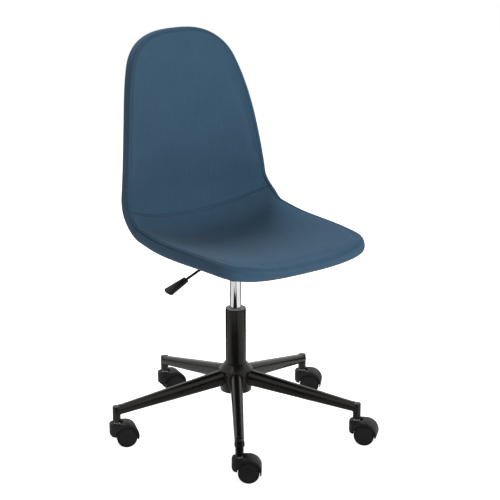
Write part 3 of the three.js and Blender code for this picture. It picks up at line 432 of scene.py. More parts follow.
def painted_steel(settings):
    """Stoved gloss paint: a faint orange peel, and dust that dulls it in patches."""
    look = Look("painted_steel", Specular_IOR_Level=0.36, Specular_Tint=(1.0, 0.96, 0.86))
    peel = look.noise(look.place(), 420.0, 2.0)
    dull = look.noise(look.place(), 22.0, 4.0, 0.6)
    dust = look.spread(dull, 0.3, 0.75)
    rough = settings.paint_roughness
    look.feed_shader(
        Base_Color=look.mixed(dust, settings.paint, tone(settings.paint, 1.7)),
        Roughness=look.ranged(dull, 0.25, 0.75, rough - 0.05, rough + 0.07),
        Normal=look.bump(peel, 0.05 * MM, 0.35),
    )
    return look.material


def moulded_nylon(name, colour, roughness=0.5):
    """Spark-eroded mould grain, with slight flow marks in the tone."""
    look = Look(name, Specular_IOR_Level=0.25)
    grain = look.noise(look.place(), 1500.0, 3.0, 0.7)
    flow = look.noise(look.stretched(look.place(), (14, 14, 40)), 1.0, 3.0)
    look.feed_shader(
        Base_Color=look.mixed(look.spread(flow), colour, tone(colour, 1.35)),
        Roughness=look.ranged(grain, 0.3, 0.7, roughness - 0.06, roughness + 0.08),
        Normal=look.bump(grain, 0.06 * MM, 0.5),
    )
    return look.material


def bright_metal(name, colour, roughness, lines):
    """Bare or plated metal with fine marks round its axis from turning or drawing."""
    look = Look(name, Metallic=1.0)
    marks = look.noise(look.stretched(look.place(), lines), 1.0, 3.0, 0.6)
    haze = look.noise(look.place(), 30.0, 3.0)
    look.feed_shader(
        Base_Color=look.mixed(look.spread(haze), colour, tone(colour, 0.93)),
        Roughness=look.ranged(marks, 0.3, 0.7, roughness * 0.8, roughness * 1.3),
        Normal=look.bump(marks, 0.02 * MM, 0.3),
    )
    return look.material


class Finishes:
    """The chair's materials, made once."""

    made = {}

    @classmethod
    def get(cls, name):
        if name not in cls.made:
            scene = bpy.context.scene
            fabric, metal = scene.chair_fabric, scene.chair_metal
            makers = {
                "front_fabric": lambda: woven_fabric("front_fabric", fabric),
                # The side fabric is the front fabric made 6% darker: painted shade on the sides.
                "side_fabric": lambda: woven_fabric("side_fabric", fabric, 0.94),
                "sewing_thread": lambda: sewing_thread(fabric),
                "painted_steel": lambda: painted_steel(metal),
                "black_nylon": lambda: moulded_nylon("black_nylon", metal.nylon),
                "wheel_nylon": lambda: moulded_nylon("wheel_nylon", metal.nylon, 0.56),
                "pale_nylon": lambda: moulded_nylon("pale_nylon", (0.24, 0.24, 0.22), 0.34),
                "shell_plastic": lambda: moulded_nylon("shell_plastic", (0.02, 0.02, 0.021), 0.6),
                "chrome": lambda: bright_metal("chrome", (0.86, 0.865, 0.87), 0.07, (9, 9, 700)),
                "bright_steel": lambda: bright_metal(
                    "bright_steel", (0.62, 0.62, 0.61), 0.24, (60, 60, 1400)
                ),
            }
            cls.made[name] = makers[name]()
        return cls.made[name]


# ------------------------------------------------------------------ shapes
def linked(name, build):
    """Turns a bmesh into an object of the scene."""
    mesh = bpy.data.meshes.new(name)
    build.to_mesh(mesh)
    build.free()
    thing = bpy.data.objects.new(name, mesh)
    bpy.context.scene.collection.objects.link(thing)
    return thing


def finish_piece(name, body, slot, build, look=None, smooth=32):
    """Turns a bmesh into a piece that rides on a body and takes a finish.

    The look is the slot's own unless another is named; edges up to smooth degrees are shaded
    smooth.
    """
    piece = linked(name, build)
    piece.data.materials.append(Finishes.get(look or slot))
    piece.data.shade_smooth()
    piece.data.set_sharp_from_angle(angle=math.radians(smooth))
    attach(piece, body)
    return piece


def placed_piece(name, body, slot, shape, place, look=None):
    """A piece from a shape that is used several times, put in its place."""
    build = shape.copy()
    build.transform(place)
    return finish_piece(name, body, slot, build, look)


def subdivide(piece):
    """Smooths a sewn piece's form by one level of subdivision."""
    smooth = piece.modifiers.new("smooth", "SUBSURF")
    smooth.levels = smooth.render_levels = 1


def turned(profile, steps=64, place=None):
    """Spins a profile of (radius, height) about Z; it closes on itself or ends on the axis."""
    build = bmesh.new()
    line = [build.verts.new((r, 0, z)) for r, z in profile]
    edges = [build.edges.new(pair) for pair in zip(line, line[1:])]
    if profile[0][0] > 0:
        edges.append(build.edges.new((line[-1], line[0])))
    bmesh.ops.spin(
        build,
        geom=line + edges,
        cent=(0, 0, 0),
        axis=(0, 0, 1),
        dvec=(0, 0, 0),
        angle=2 * math.pi,
        steps=steps,
        use_merge=True,
    )
    bmesh.ops.remove_doubles(build, verts=build.verts, dist=0.002 * MM)
    bmesh.ops.recalc_face_normals(build, faces=build.faces)
    if place is not None:
        build.transform(place)
    return build


def cylinder(radius, low, high, steps):
    """A plain solid to cut with."""
    return turned([(0, low), (radius, low), (radius, high), (0, high)], steps)


def ring_profile(radius, low, high, *inside):
    """A hollow ring's profile, which starts and ends halfway up its outer wall."""
    half = (low + high) / 2
    return [(radius, half), *inside, (radius, half - 1 * MM)]


def rounded(profile, radius, steps=3, sharp=()):
    """Rounds the inner corners of a profile with short arcs of points, but for the sharp ones."""
    points = [Vector(p) for p in profile]
    out = [tuple(points[0])]
    for i, (before, corner, after) in enumerate(zip(points, points[1:], points[2:]), 1):
        if i in sharp:
            out.append(tuple(corner))
            continue
        to_before, to_after = before - corner, after - corner
        reach = min(radius, to_before.length * 0.45, to_after.length * 0.45)
        start = corner + to_before.normalized() * reach
        end = corner + to_after.normalized() * reach
        for j in range(steps + 1):
            t = j / steps
            bend = start * (1 - t) ** 2 + corner * 2 * t * (1 - t) + end * t**2
            out.append(tuple(bend))
    out.append(tuple(points[-1]))
    return out


def raised(outline, low, high):
    """A flat outline of (x, y) points raised along Z."""
    build = bmesh.new()
    face = build.faces.new([build.verts.new((x, y, low)) for x, y in outline])
    lifted = bmesh.ops.extrude_face_region(build, geom=[face])["geom"]
    verts = [v for v in lifted if isinstance(v, bmesh.types.BMVert)]
    bmesh.ops.translate(build, vec=(0, 0, high - low), verts=verts)
    bmesh.ops.recalc_face_normals(build, faces=build.faces)
    return build


def soften(build, width, segments=2, angle=30):
    """Bevels the edges that turn more than an angle."""
    sharp = [
        e
        for e in build.edges
        if len(e.link_faces) == 2 and e.calc_face_angle(0) > math.radians(angle)
    ]
    bmesh.ops.bevel(
        build,
        geom=sharp,
        offset=width,
        affect="EDGES",
        segments=segments,
        profile=0.5,
        material=-1,
        clamp_overlap=True,
    )
    return build


def copied(node):
    """The merged mesh of a CAD node, with its flat faces joined."""
    build = bmesh.new()
    build.from_mesh(frame["nodes"][node].data)
    bmesh.ops.remove_doubles(build, verts=build.verts, dist=0.01 * MM)
    bmesh.ops.dissolve_limit(
        build,
        angle_limit=math.radians(1),
        use_dissolve_boundaries=False,
        verts=build.verts,
        edges=build.edges,
    )
    return build


def carved(build, cutters, operation="DIFFERENCE"):
    """Cuts a solid with others through Boolean modifiers, and returns the result."""
    body, *others = [linked("carving", shape) for shape in [build, *cutters]]
    for cutter in others:
        cut = body.modifiers.new("cut", "BOOLEAN")
        cut.object = cutter
        cut.operation = operation
        cut.solver = "EXACT"
    result = bmesh.new()
    result.from_object(body, bpy.context.evaluated_depsgraph_get())
    for thing in (body, *others):
        bpy.data.objects.remove(thing)
    return result


def together(shapes):
    """Joins several bmeshes into the first."""
    first, *others = shapes
    for shape in others:
        mesh = bpy.data.meshes.new("joined")
        shape.to_mesh(mesh)
        shape.free()
        first.from_mesh(mesh)
        bpy.data.meshes.remove(mesh)
    return first


def bead(path, radius, closed=True, sides=8, lumps=0.0):
    """A thin roll along a path of points; lumps makes it uneven like a weld."""
    build = bmesh.new()
    rings = []
    count = len(path)
    for i, point in enumerate(path):
        before = path[i - 1] if closed or i else point
        after = path[(i + 1) % count] if closed or i + 1 < count else point
        along = (after - before).normalized()
        side = along.orthogonal().normalized() if i == 0 else (side - along * side.dot(along))
        side = side.normalized()
        up = along.cross(side)
        r = radius * (1 + lumps * math.sin(i * 2.4))
        ring = []
        for j in range(sides):
            turn = 2 * math.pi * j / sides
            out = side * (r * math.cos(turn)) + up * (r * math.sin(turn))
            ring.append(build.verts.new(point + out))
        rings.append(ring)
    edges = []
    for ring in rings:
        edges.append([build.edges.new((ring[j], ring[(j + 1) % sides])) for j in range(sides)])
    pairs = list(zip(edges, edges[1:]))
    if closed:
        pairs.append((edges[-1], edges[0]))
    for first, second in pairs:
        bmesh.ops.bridge_loops(build, edges=first + second)
    if not closed:
        bmesh.ops.holes_fill(build, edges=edges[0] + edges[-1], sides=0)
    bmesh.ops.recalc_face_normals(build, faces=build.faces)
    return build


# ------------------------------------------------------------------ the bucket's form
class Bucket:
    """The sitting surface: arcs along the middle, widths and a dish across.

    A place on it is (s, x): the distance s along the middle line from the front edge, and x across.
    """

    # The middle line: the rolled front and the bend are arcs of a radius and a turn, the seat is
    # straight and falls to the rear, and the back has a length and a turn.
    LIP = (52 * MM, math.radians(48.8))
    FLAT = 347.5 * MM
    SLOPE = math.radians(5.4)
    BEND = (113.5 * MM, math.radians(93 + 5.4))
    BACK = (374.5 * MM, math.radians(11.6))
    # The place on the flat that lies over the column, and its height over the seat plate.
    OVER_COLUMN = 252.6 * MM
    OVER_PLATE = 43.2 * MM
    # Pairs of share of the length and millimetres: half widths, and how far the edges stand up
    # over the middle.
    WIDTHS = ((0, 200.2), (0.25, 221.4), (0.5, 217.8), (0.7, 196.5), (0.86, 168.5), (1, 122.3))
    DISH = ((0, 7.5), (0.15, 26), (0.32, 43), (0.5, 76.5), (0.75, 53.5), (1, 4.5))
    DISH_POWER = 2.2
    # The rounded ends: length, and the power of their superellipse.
    FRONT = (88 * MM, 2.6)
    TOP = (90 * MM, 2.7)
    # Where the cross seam parts the seat from the back.
    SEAM = 500 * MM

    def __init__(self):
        lip = self.LIP[0] * self.LIP[1]
        bend = self.BEND[0] * self.BEND[1]
        self.chain = (
            (lip, -self.LIP[1]),
            (self.FLAT, 0.0),
            (bend, self.BEND[1]),
            (self.BACK[0], -self.BACK[1]),
        )
        self.length = sum(length for length, _ in self.chain)
        start = self.line(lip + self.OVER_COLUMN)
        height = top("seat_plate") + self.OVER_PLATE
        self.origin = (AXIS_Y - start[0], height - start[1])

    def line(self, s):
        """Place and heading of the middle line at the distance s from the front edge."""
        y = z = 0.0
        heading = self.LIP[1] - self.SLOPE
        for i, (length, turn) in enumerate(self.chain):
            step = s if i == 3 else min(s, length)
            bend = turn / length
            end = heading + bend * step
            if bend == 0:
                y += step * math.cos(heading)
                z += step * math.sin(heading)
            else:
                y += (math.sin(end) - math.sin(heading)) / bend
                z += (math.cos(heading) - math.cos(end)) / bend
            heading = end
            s -= step
            if s <= 0:
                break
        return y, z, heading

    @staticmethod
    def smooth(pairs, share):
        """A smooth curve through pairs of share and millimetres, in metres."""
        i = 0
        while i < len(pairs) - 2 and share > pairs[i + 1][0]:
            i += 1

        def slope(k):
            (x0, y0), (x1, y1) = pairs[max(0, k - 1)], pairs[min(len(pairs) - 1, k + 1)]
            return (y1 - y0) / (x1 - x0)

        (x0, y0), (x1, y1) = pairs[i], pairs[i + 1]
        width = x1 - x0
        t = (share - x0) / width
        flat = y0 + (y1 - y0) * t * t * (3 - 2 * t)
        return MM * (
            flat
            + slope(i) * width * t * (1 - t) ** 2
            + slope(i + 1) * width * t * t * (t - 1)
        )

    def half_width(self, s):
        return self.smooth(self.WIDTHS, s / self.length)

    def point(self, s, x, n=0.0):
        """A point n out of the sitting surface, s along it and x across."""
        y, z, heading = self.line(s)
        dish = self.smooth(self.DISH, s / self.length)
        rise = n + dish * abs(x / self.half_width(s)) ** self.DISH_POWER
        y = self.origin[0] + y - rise * math.sin(heading)
        z = self.origin[1] + z + rise * math.cos(heading)
        return Vector((AXIS_X + x, y, z))

    def end_place(self, a, b, ring, insets, end, tip):
        """A place in a rounded end: its share a across, b towards the tip, and its ring."""
        length, power = end
        round_x = a * math.sqrt(1 - b * b / 2)
        round_y = b * math.sqrt(1 - a * a / 2)
        size = (abs(round_x) ** power + abs(round_y) ** power) ** (1 / power)
        deepest = len(insets) - 1
        inset = insets[min(ring, deepest)]
        start = self.half_width(abs(tip - length))
        level = max(abs(a) / (1 - inset / start), b / (1 - inset / length))
        r = 1.0 if ring < deepest else min(1.0, level)
        s = abs(tip - inset - (length - inset) * (1 - round_y / size * r))
        return s, round_x / size * r * (self.half_width(s) - inset)

    def places(self, insets, spread, columns, stations, end_rows, start=None, stop=None):
        """Rows of (s, x, ring) from the front edge back; the outer rings follow the outline.

        The rings lie at the insets. Their spread, which grows inwards without turning back, says
        how they part at a rounded end.
        """
        shares = [2 * (i + 0.5) / columns - 1 for i in range(columns)]
        rings = len(insets)
        count = columns + 2 * rings

        def across(s, ring_shares):
            width = self.half_width(s)
            edge = [1 - d / width for d in ring_shares]
            inner = [t * (1 - ring_shares[-1] / width) * (1 - 0.5 / columns) for t in shares]
            return [-a for a in edge] + inner + edge[::-1]

        def straight(s):
            width = self.half_width(s)
            line = across(s, insets)
            return [(s, a * width, min(j, count - 1 - j)) for j, a in enumerate(line)]

        def rounded_end(end, tip):
            length = end[0]
            edge = [1 - d / length for d in spread]
            inner = [edge[-1] * (end_rows - i) / (end_rows + 0.7) for i in range(end_rows)]
            line = across(abs(tip - length), spread)
            rows = []
            for i, b in enumerate(edge + inner):
                row = []
                for j, a in enumerate(line):
                    ring = min(i, j, count - 1 - j)
                    row.append((*self.end_place(a, b, ring, insets, end, tip), ring))
                rows.append(row)
            return rows

        rows = rounded_end(self.FRONT, 0.0) if start is None else []
        first = self.FRONT[0] if start is None else start
        last = self.length - self.TOP[0] if stop is None else stop
        rows += [straight(s) for s in stations if first <= s <= last]
        if stop is None:
            rows += rounded_end(self.TOP, self.length)[::-1]
        return rows

    def outline(self, inset):
        """The places (s, x) all round at a distance from the edge, a few millimetres apart."""
        turns = [math.pi * i / 90 for i in range(91)]

        def end(span, tip):
            length, power = span
            places = []
            for turn in turns:
                c, r = math.cos(turn), math.sin(turn)
                x = math.copysign(abs(c) ** (2 / power), c)
                s = abs(tip - inset - (length - inset) * (1 - r ** (2 / power)))
                places.append((s, x * (self.half_width(s) - inset)))
            return places

        top = self.length - self.TOP[0]
        sides = evenly(self.FRONT[0], top, 4 * MM)[1:-1]
        right = [(s, self.half_width(s) - inset) for s in sides]
        left = [(s, -x) for s, x in right[::-1]]
        loop = end(self.FRONT, 0.0)[::-1] + right + end(self.TOP, self.length) + left
        return loop + loop[:1]

    def outward(self, s, x):
        """Direction (x, s) that leads straight out over the nearest edge."""
        width = self.half_width(s)
        for (length, power), from_end, sign in (
            (self.FRONT, s, -1),
            (self.TOP, self.length - s, 1),
        ):
            if from_end < length:
                out_x = math.copysign(abs(x / width) ** (power - 1) / width, x)
                out_s = sign * (1 - from_end / length) ** (power - 1) / length
                size = math.hypot(out_x, out_s) or 1.0
                return out_x / size, out_s / size
        return math.copysign(1.0, x), 0.0


def evenly(low, high, step):
    """Values from low to high, about a step apart."""
    count = max(1, round((high - low) / step))
    return [low + (high - low) * i / count for i in range(count + 1)]


def grid_surface(rows, height, bucket, crease=None):
    """A grid bent to the bucket; height gives each place (s, x, ring) its height, and crease how
    much painted shade darkens the fabric's colour at a seam there."""
    build = bmesh.new()
    across, along = len(rows[0]), len(rows)
    bmesh.ops.create_grid(build, x_segments=across - 1, y_segments=along - 1, size=1)
    kept = build.verts.layers.float_vector.new("flat")
    ring_of = build.verts.layers.int.new("ring")
    # The crease layer holds how much painted shade the fabric's material puts at each vertex.
    seam_shaded = build.verts.layers.float.new("crease")
    order = sorted(build.verts, key=lambda v: (round(v.co.y, 6), v.co.x))
    for vert, (s, x, ring) in zip(order, (place for row in rows for place in row)):
        vert.co = bucket.point(s, x, height(s, x, ring))
        vert[kept] = (x, s, 0)
        vert[ring_of] = ring
        if crease is not None:
            vert[seam_shaded] = crease(s, x, ring)
    return build


def map_weave(build):
    """Lays the weave's map flat, as the fabric was cut."""
    kept = build.verts.layers.float_vector["flat"]
    weave = build.loops.layers.uv.new("weave")
    for face in build.faces:
        for loop in face.loops:
            loop[weave].uv = loop.vert[kept].xy


def crease_border(build, faces):
    """Keeps the edges where these faces meet others sharp under subdivision."""
    crease = build.edges.layers.float.new("crease_edge")
    inside = set(faces)
    for edge in build.edges:
        if len({face in inside for face in edge.link_faces}) == 2:
            edge[crease] = 1.0


def swell(piece, free, cap, frames=20):
    """Lets foam pressure push the free part of a pad out, by each vertex's share, and keeps it."""
    held = piece.vertex_groups.new(name="held")
    held.add([i for i in range(len(piece.data.vertices)) if i not in free], 1.0, "REPLACE")
    start = [v.co.copy() for v in piece.data.vertices]
    cloth = piece.modifiers.new("foam", "CLOTH")
    cloth.settings.quality = 6
    cloth.settings.mass = 0.3
    cloth.settings.tension_stiffness = 40
    cloth.settings.compression_stiffness = 40
    cloth.settings.shear_stiffness = 20
    cloth.settings.bending_stiffness = 2
    cloth.settings.use_pressure = True
    cloth.settings.uniform_pressure_force = 4
    cloth.settings.vertex_group_mass = "held"
    cloth.settings.effector_weights.gravity = 0
    cloth.collision_settings.use_collision = False
    cloth.point_cache.frame_start = 1
    cloth.point_cache.frame_end = frames
    scene = bpy.context.scene
    for i in range(1, frames + 1):
        scene.frame_set(i)
    settled = piece.evaluated_get(bpy.context.evaluated_depsgraph_get())
    moved = [v.co.copy() for v in settled.data.vertices]
    piece.modifiers.remove(cloth)
    piece.vertex_groups.remove(held)
    for index, share in free.items():
        before, after = start[index], moved[index]
        step = after - before
        reach = step.length
        if reach > 0:
            most = cap * share
            piece.data.vertices[index].co = before + step * (most * math.tanh(reach / cap) / reach)
    scene.frame_set(1)


def crown(depth, distance, reach):
    """How far the fabric lies below full height at a distance from a seam."""
    t = min(1.0, max(0.0, distance / reach))
    return -depth * (1 - math.sin(t * math.pi / 2)) ** 1.3


def eased(pairs, at):
    """Eases from value to value of (place, value) pairs."""
    for (start, low), (stop, high) in zip(pairs, pairs[1:]):
        if at <= stop:
            t = min(1.0, max(0.0, (at - start) / (stop - start)))
            return low + (high - low) * t * t * (3 - 2 * t)
    return pairs[-1][1]


def pucker(along, across, share):
    """Small gathers beside a seam, fullest halfway into a strip; share runs over its width."""
    if not 0 < share < 1:
        return 0.0
    drift = 2 * noise.noise(Vector((along * 40, across * 4, 0)))
    return 1.1 * MM * share * (1 - share) * math.sin(along / (5.4 * MM) + drift)


# ------------------------------------------------------------------ upholstery
PAD_START = -2 * MM  # height from which the foam pushes the fabric out
PAD_DEPTH = 23.2 * MM
PAD_COLUMNS = 62
PAD_END_ROWS = 11
PAD_SPACING = 6 * MM
# Distances of the rings in from the outer edge, of the rows beside the cross seam, and of the first
# of the evenly spaced rows.
PAD_RINGS = [d * MM for d in (9.35, 9.5, 9.9, 10.7, 12, 14, 16.5, 20, 25, 31)]
NEAR_SEAM = [d * MM for d in (0, 0.2, 0.7, 2.2, 3.0, 3.6, 4.4, 5.6, 8, 12)]
AWAY_FROM_SEAM = 17 * MM
SEAM_GAP = 0.1 * MM
STITCH_ROW = 3.6 * MM  # on either side of the cross seam
RIM_GROOVE = 9.2 * MM
RIM_GROOVE_REACH = 3.4 * MM
SEAM_DIP_REACH = 9 * MM
# Along the middle line: radius with which the fabric rolls over the edge, and how plainly the
# edge seam shows. Across, from the middle out: how plainly the cross seam shows.
EDGE_RADIUS = ((12 * MM, 22 * MM), (110 * MM, 13 * MM), (380 * MM, 12 * MM), (470 * MM, 8 * MM))
EDGE_SEAM = ((80 * MM, 0.15), (250 * MM, 1.0), (520 * MM, 1.0), (620 * MM, 0.15))
CROSS_SEAM = ((50 * MM, 0.45), (160 * MM, 1.0))


def edge_height(settings, s, inset):
    """Height of the fabric over the sitting surface near the edge: it rolls over, and dips at
    the seam between pad and rim."""
    radius = eased(EDGE_RADIUS, s)
    share = min(1.0, max(0.0, 1 - inset / radius))
    dip = crown(settings.edge_dip, abs(inset - RIM_GROOVE), RIM_GROOVE_REACH)
    return -radius * (1 - math.sqrt(1 - share**2)) + dip * eased(EDGE_SEAM, s)


def pad_inset(ring):
    """Distance of a pad's ring from the outer edge."""
    return PAD_RINGS[min(ring, len(PAD_RINGS) - 1)]


class CHAIR_OT_pads(bpy.types.Operator):
    """Build the seat pad and the back pad: foam with its front fabric, pulled in at the seams"""

    bl_idname = "chair.pads"
    bl_label = "Front pads"

    def execute(self, context):
        seam = Bucket.SEAM
        self.pad(context, "seat_cushion", "seat_pad", None, seam - SEAM_GAP)
        self.pad(context, "back_cushion", "back_pad", seam + SEAM_GAP, None)
        return {"FINISHED"}

    def pad(self, context, name, node, start, stop):
        """Makes the pad between two distances along; None stands for a rounded end."""
        settings = context.scene.chair_fabric
        bucket = Bucket()
        if start is None:
            even = evenly(bucket.FRONT[0], stop - AWAY_FROM_SEAM, PAD_SPACING)
            stations = even + [stop - d for d in NEAR_SEAM[::-1]]
            seam = stop
        else:
            even = evenly(start + AWAY_FROM_SEAM, bucket.length - bucket.TOP[0], PAD_SPACING)
            stations = [start + d for d in NEAR_SEAM] + even
            seam = start
        grid = (PAD_COLUMNS, stations, PAD_END_ROWS)
        rows = bucket.places(PAD_RINGS, PAD_RINGS, *grid, start, stop)

        def room(s, ring):
            """Share of the full swell: none at the seams."""
            from_edge = eased(((PAD_RINGS[1], 0.0), (PAD_RINGS[-1], 1.0)), pad_inset(ring))
            return from_edge * eased(((0.5 * MM, 0.0), (26 * MM, 1.0)), abs(s - seam))

        def height(s, x, ring):
            inset, from_seam = pad_inset(ring), abs(s - seam)
            edge_plain, cross_plain = eased(EDGE_SEAM, s), eased(CROSS_SEAM, abs(x))
            low = edge_height(settings, s, inset)
            low += pucker(s, x, (inset - PAD_RINGS[0]) / (9 * MM)) * edge_plain
            low += crown(settings.seam_dip, from_seam, SEAM_DIP_REACH) * cross_plain
            low += pucker(x, s, from_seam / (10 * MM)) * cross_plain
            return low + PAD_START * room(s, ring)

        def crease(s, x, ring):
            """Painted shade where the pad meets the rim, at the cross seam and under its stitches.
            """
            from_seam = abs(s - seam)
            edge = eased(((0.1 * MM, 1.0), (1.3 * MM, 0.0)), pad_inset(ring) - PAD_RINGS[0])
            across = eased(((0, 0.5), (0.5 * MM, 0.0)), from_seam)
            stitched = eased(((0, 1.0), (1.4 * MM, 0.0)), abs(from_seam - STITCH_ROW))
            return max(edge * eased(EDGE_SEAM, s), (across + stitched) * eased(CROSS_SEAM, abs(x)))

        build = grid_surface(rows, height, bucket, crease)
        below = self.close_below(build, bucket)
        map_weave(build)
        build.verts.index_update()
        kept = build.verts.layers.float_vector["flat"]
        ring_of = build.verts.layers.int["ring"]
        free = {
            v.index: room(v[kept].y, v[ring_of])
            for v in build.verts
            if v not in below and not any(e.other_vert(v) in below for e in v.link_edges)
        }
        piece = finish_piece(name, "seat", "blue_fabric", build, "front_fabric", smooth=60)
        swell(piece, free, settings.swell)
        subdivide(piece)
        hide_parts(node)

    def close_below(self, build, bucket):
        """Gives the fabric its foam, with a wall and a lower side, whose vertices it returns."""
        skin = list(build.faces)
        lifted = bmesh.ops.extrude_face_region(build, geom=skin, use_keep_orig=True)["geom"]
        kept = build.verts.layers.float_vector["flat"]
        lower = {v for v in lifted if isinstance(v, bmesh.types.BMVert)}
        for vert in lower:
            x, s, _ = vert[kept]
            vert.co = bucket.point(s, x, -PAD_DEPTH)
        crease_border(build, skin)
        bmesh.ops.recalc_face_normals(build, faces=build.faces)
        return lower


# The cover's rings in millimetres, from the rim's inner edge over the rolled edge and down the side
# to the underside. Each has its distance in from the outer edge. On the rim follows how far it lies
# below the rolled fabric, and on the side its height over the sitting surface, or None for a ring
# that is spaced evenly between its neighbours.
RIM_RINGS = (
    (9.1, 3.6), (9.1, 0.9), (8.95, 0.2), (8.4, 0), (7.2, 0), (5.8, 0), (4.4, 0), (3.1, 0),
    (2.1, 0), (1.4, 0), (0.8, 0), (0.3, 0), (0.05, 0),
)
SIDE_RINGS = (
    (-0.3, None), (-0.4, None), (0.0, -25), (1.1, -29), (2.8, -32), (5.5, -34.6), (9.5, -36.3),
    (16, -37), (24, -37),
)
CORNER_RING = 9  # where the side band is sewn to the rim
CORNER_DEPTH = 1.6 * MM
# How much painted shade darkens the fabric on the rim's first rings, and on those at the corner.
RIM_SEAM_SHADE = (1.0, 1.0, 0.8, 0.1)
CORNER_SEAM_SHADE = {CORNER_RING - 1: 0.2, CORNER_RING: 0.75, CORNER_RING + 1: 0.2}
SIDE_UNEVENNESS = 0.35 * MM
COVER_COLUMNS = 40
COVER_END_ROWS = 7
COVER_SPACING = 8 * MM
PLATE_GAP = 0.4 * MM
COVER_INSETS = [inset * MM for inset, _ in (*RIM_RINGS, *SIDE_RINGS)]
TRAY_FLOOR = -31.4 * MM  # the fabric's inner side under the pads
TRAY_FALL = 4.5 * MM  # from ring to ring, on the way down from the rim


class CHAIR_OT_cover(bpy.types.Operator):
    """Build the outer cover: rim, side band and underside in one sewn piece"""

    bl_idname = "chair.cover"
    bl_label = "Outer cover"

    def execute(self, context):
        self.settings = context.scene.chair_fabric
        bucket = Bucket()
        stations = evenly(bucket.FRONT[0], bucket.length - bucket.TOP[0], COVER_SPACING)
        insets = COVER_INSETS
        deepest = len(insets) - 1
        self.fabric = self.lengths(300 * MM)
        spread = [insets[-1] * f / self.fabric[-1] for f in self.fabric]
        grid = (spread, COVER_COLUMNS, stations, COVER_END_ROWS)

        def height(s, x, ring):
            low = self.level(s, min(ring, deepest))
            if len(RIM_RINGS) <= ring < deepest:
                low += SIDE_UNEVENNESS * noise.noise(Vector((x * 20, s * 20, ring * 0.2)))
            return low

        def tray_height(s, x, ring):
            return max(TRAY_FLOOR, self.level(s, 0) - TRAY_FALL * ring)

        build = grid_surface(bucket.places(insets, *grid), height, bucket, self.crease)
        self.fold_corner(build, bucket)
        self.press_flat(build)
        self.map_cover(build, bucket)
        inner_insets = [max(insets[0], insets[-1] * i / deepest) for i in range(deepest + 1)]
        tray = grid_surface(bucket.places(inner_insets, *grid), tray_height, bucket)
        build = together([build, tray])
        bmesh.ops.remove_doubles(build, verts=build.verts, dist=0.01 * MM)
        bmesh.ops.recalc_face_normals(build, faces=build.faces)
        piece = finish_piece("outer_wrap", "seat", "blue_fabric", build, "side_fabric", smooth=70)
        subdivide(piece)
        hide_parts("outer_cover")
        return {"FINISHED"}

    def crease(self, s, x, ring):
        """Painted shade where the rim meets the pads, and at the corner."""
        inner = RIM_SEAM_SHADE[ring] if ring < len(RIM_SEAM_SHADE) else 0.0
        return (inner + CORNER_SEAM_SHADE.get(ring, 0.0)) * eased(EDGE_SEAM, s)

    def fold_corner(self, build, bucket):
        """Pulls the corner between rim and side in where the side is sewn on."""
        kept = build.verts.layers.float_vector["flat"]
        ring_of = build.verts.layers.int["ring"]
        for vert in build.verts:
            if vert[ring_of] != CORNER_RING:
                continue
            x, s, _ = vert[kept]
            out_x, out_s = bucket.outward(s, x)
            inside = bucket.point(s - out_s * 12 * MM, x - out_x * 12 * MM, -14 * MM)
            depth = CORNER_DEPTH * eased(EDGE_SEAM, s)
            vert.co += (inside - vert.co).normalized() * depth

    def level(self, s, ring):
        """Height of a ring over the sitting surface."""
        if ring < len(RIM_RINGS):
            inset, below = RIM_RINGS[ring]
            return edge_height(self.settings, s, inset * MM) - below * MM
        _, own = SIDE_RINGS[ring - len(RIM_RINGS)]
        if own is not None:
            return own * MM
        start = edge_height(self.settings, s, 0)
        first_own = next(i for i, (_, own) in enumerate(SIDE_RINGS) if own is not None)
        share = (ring - len(RIM_RINGS) + 1) / (first_own + 1)
        return start + (SIDE_RINGS[first_own][1] * MM - start) * share

    def lengths(self, s):
        """How much fabric lies between the rim's inner edge and each ring, at a place along."""
        section = [(inset, self.level(s, i)) for i, inset in enumerate(COVER_INSETS)]
        lengths = [0.0]
        for (a, low), (b, high) in zip(section, section[1:]):
            lengths.append(lengths[-1] + math.hypot(b - a, high - low))
        return lengths

    def press_flat(self, build):
        """Flattens the underside where it bears on the seat plate."""
        low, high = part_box("seat_plate")
        for vert in build.verts:
            inside = low.x < vert.co.x < high.x and low.y < vert.co.y < high.y
            if inside and vert.co.z < high.z + PLATE_GAP:
                vert.co.z = high.z + PLATE_GAP

    def map_cover(self, build, bucket):
        """Unrolls the band outwards for the weave; the underside has a map of its own."""
        kept = build.verts.layers.float_vector["flat"]
        ring_of = build.verts.layers.int["ring"]
        weave = build.loops.layers.uv.new("weave")
        deepest = len(COVER_INSETS) - 1
        for face in build.faces:
            under = all(loop.vert[ring_of] >= deepest for loop in face.loops)
            for loop in face.loops:
                x, s, _ = loop.vert[kept]
                if under:
                    loop[weave].uv = (x, s)
                    continue
                ring = min(loop.vert[ring_of], deepest)
                out_x, out_s = bucket.outward(s, x)
                reach = COVER_INSETS[ring] + self.fabric[ring] - COVER_INSETS[0]
                loop[weave].uv = (x + out_x * reach, s + out_s * reach)


RIM_STITCHES = 7.6 * MM  # in from the outer edge
ROW_END = 12 * MM  # how far the rows of the cross seam end from the edge
STITCHES_IN_RUN = 40


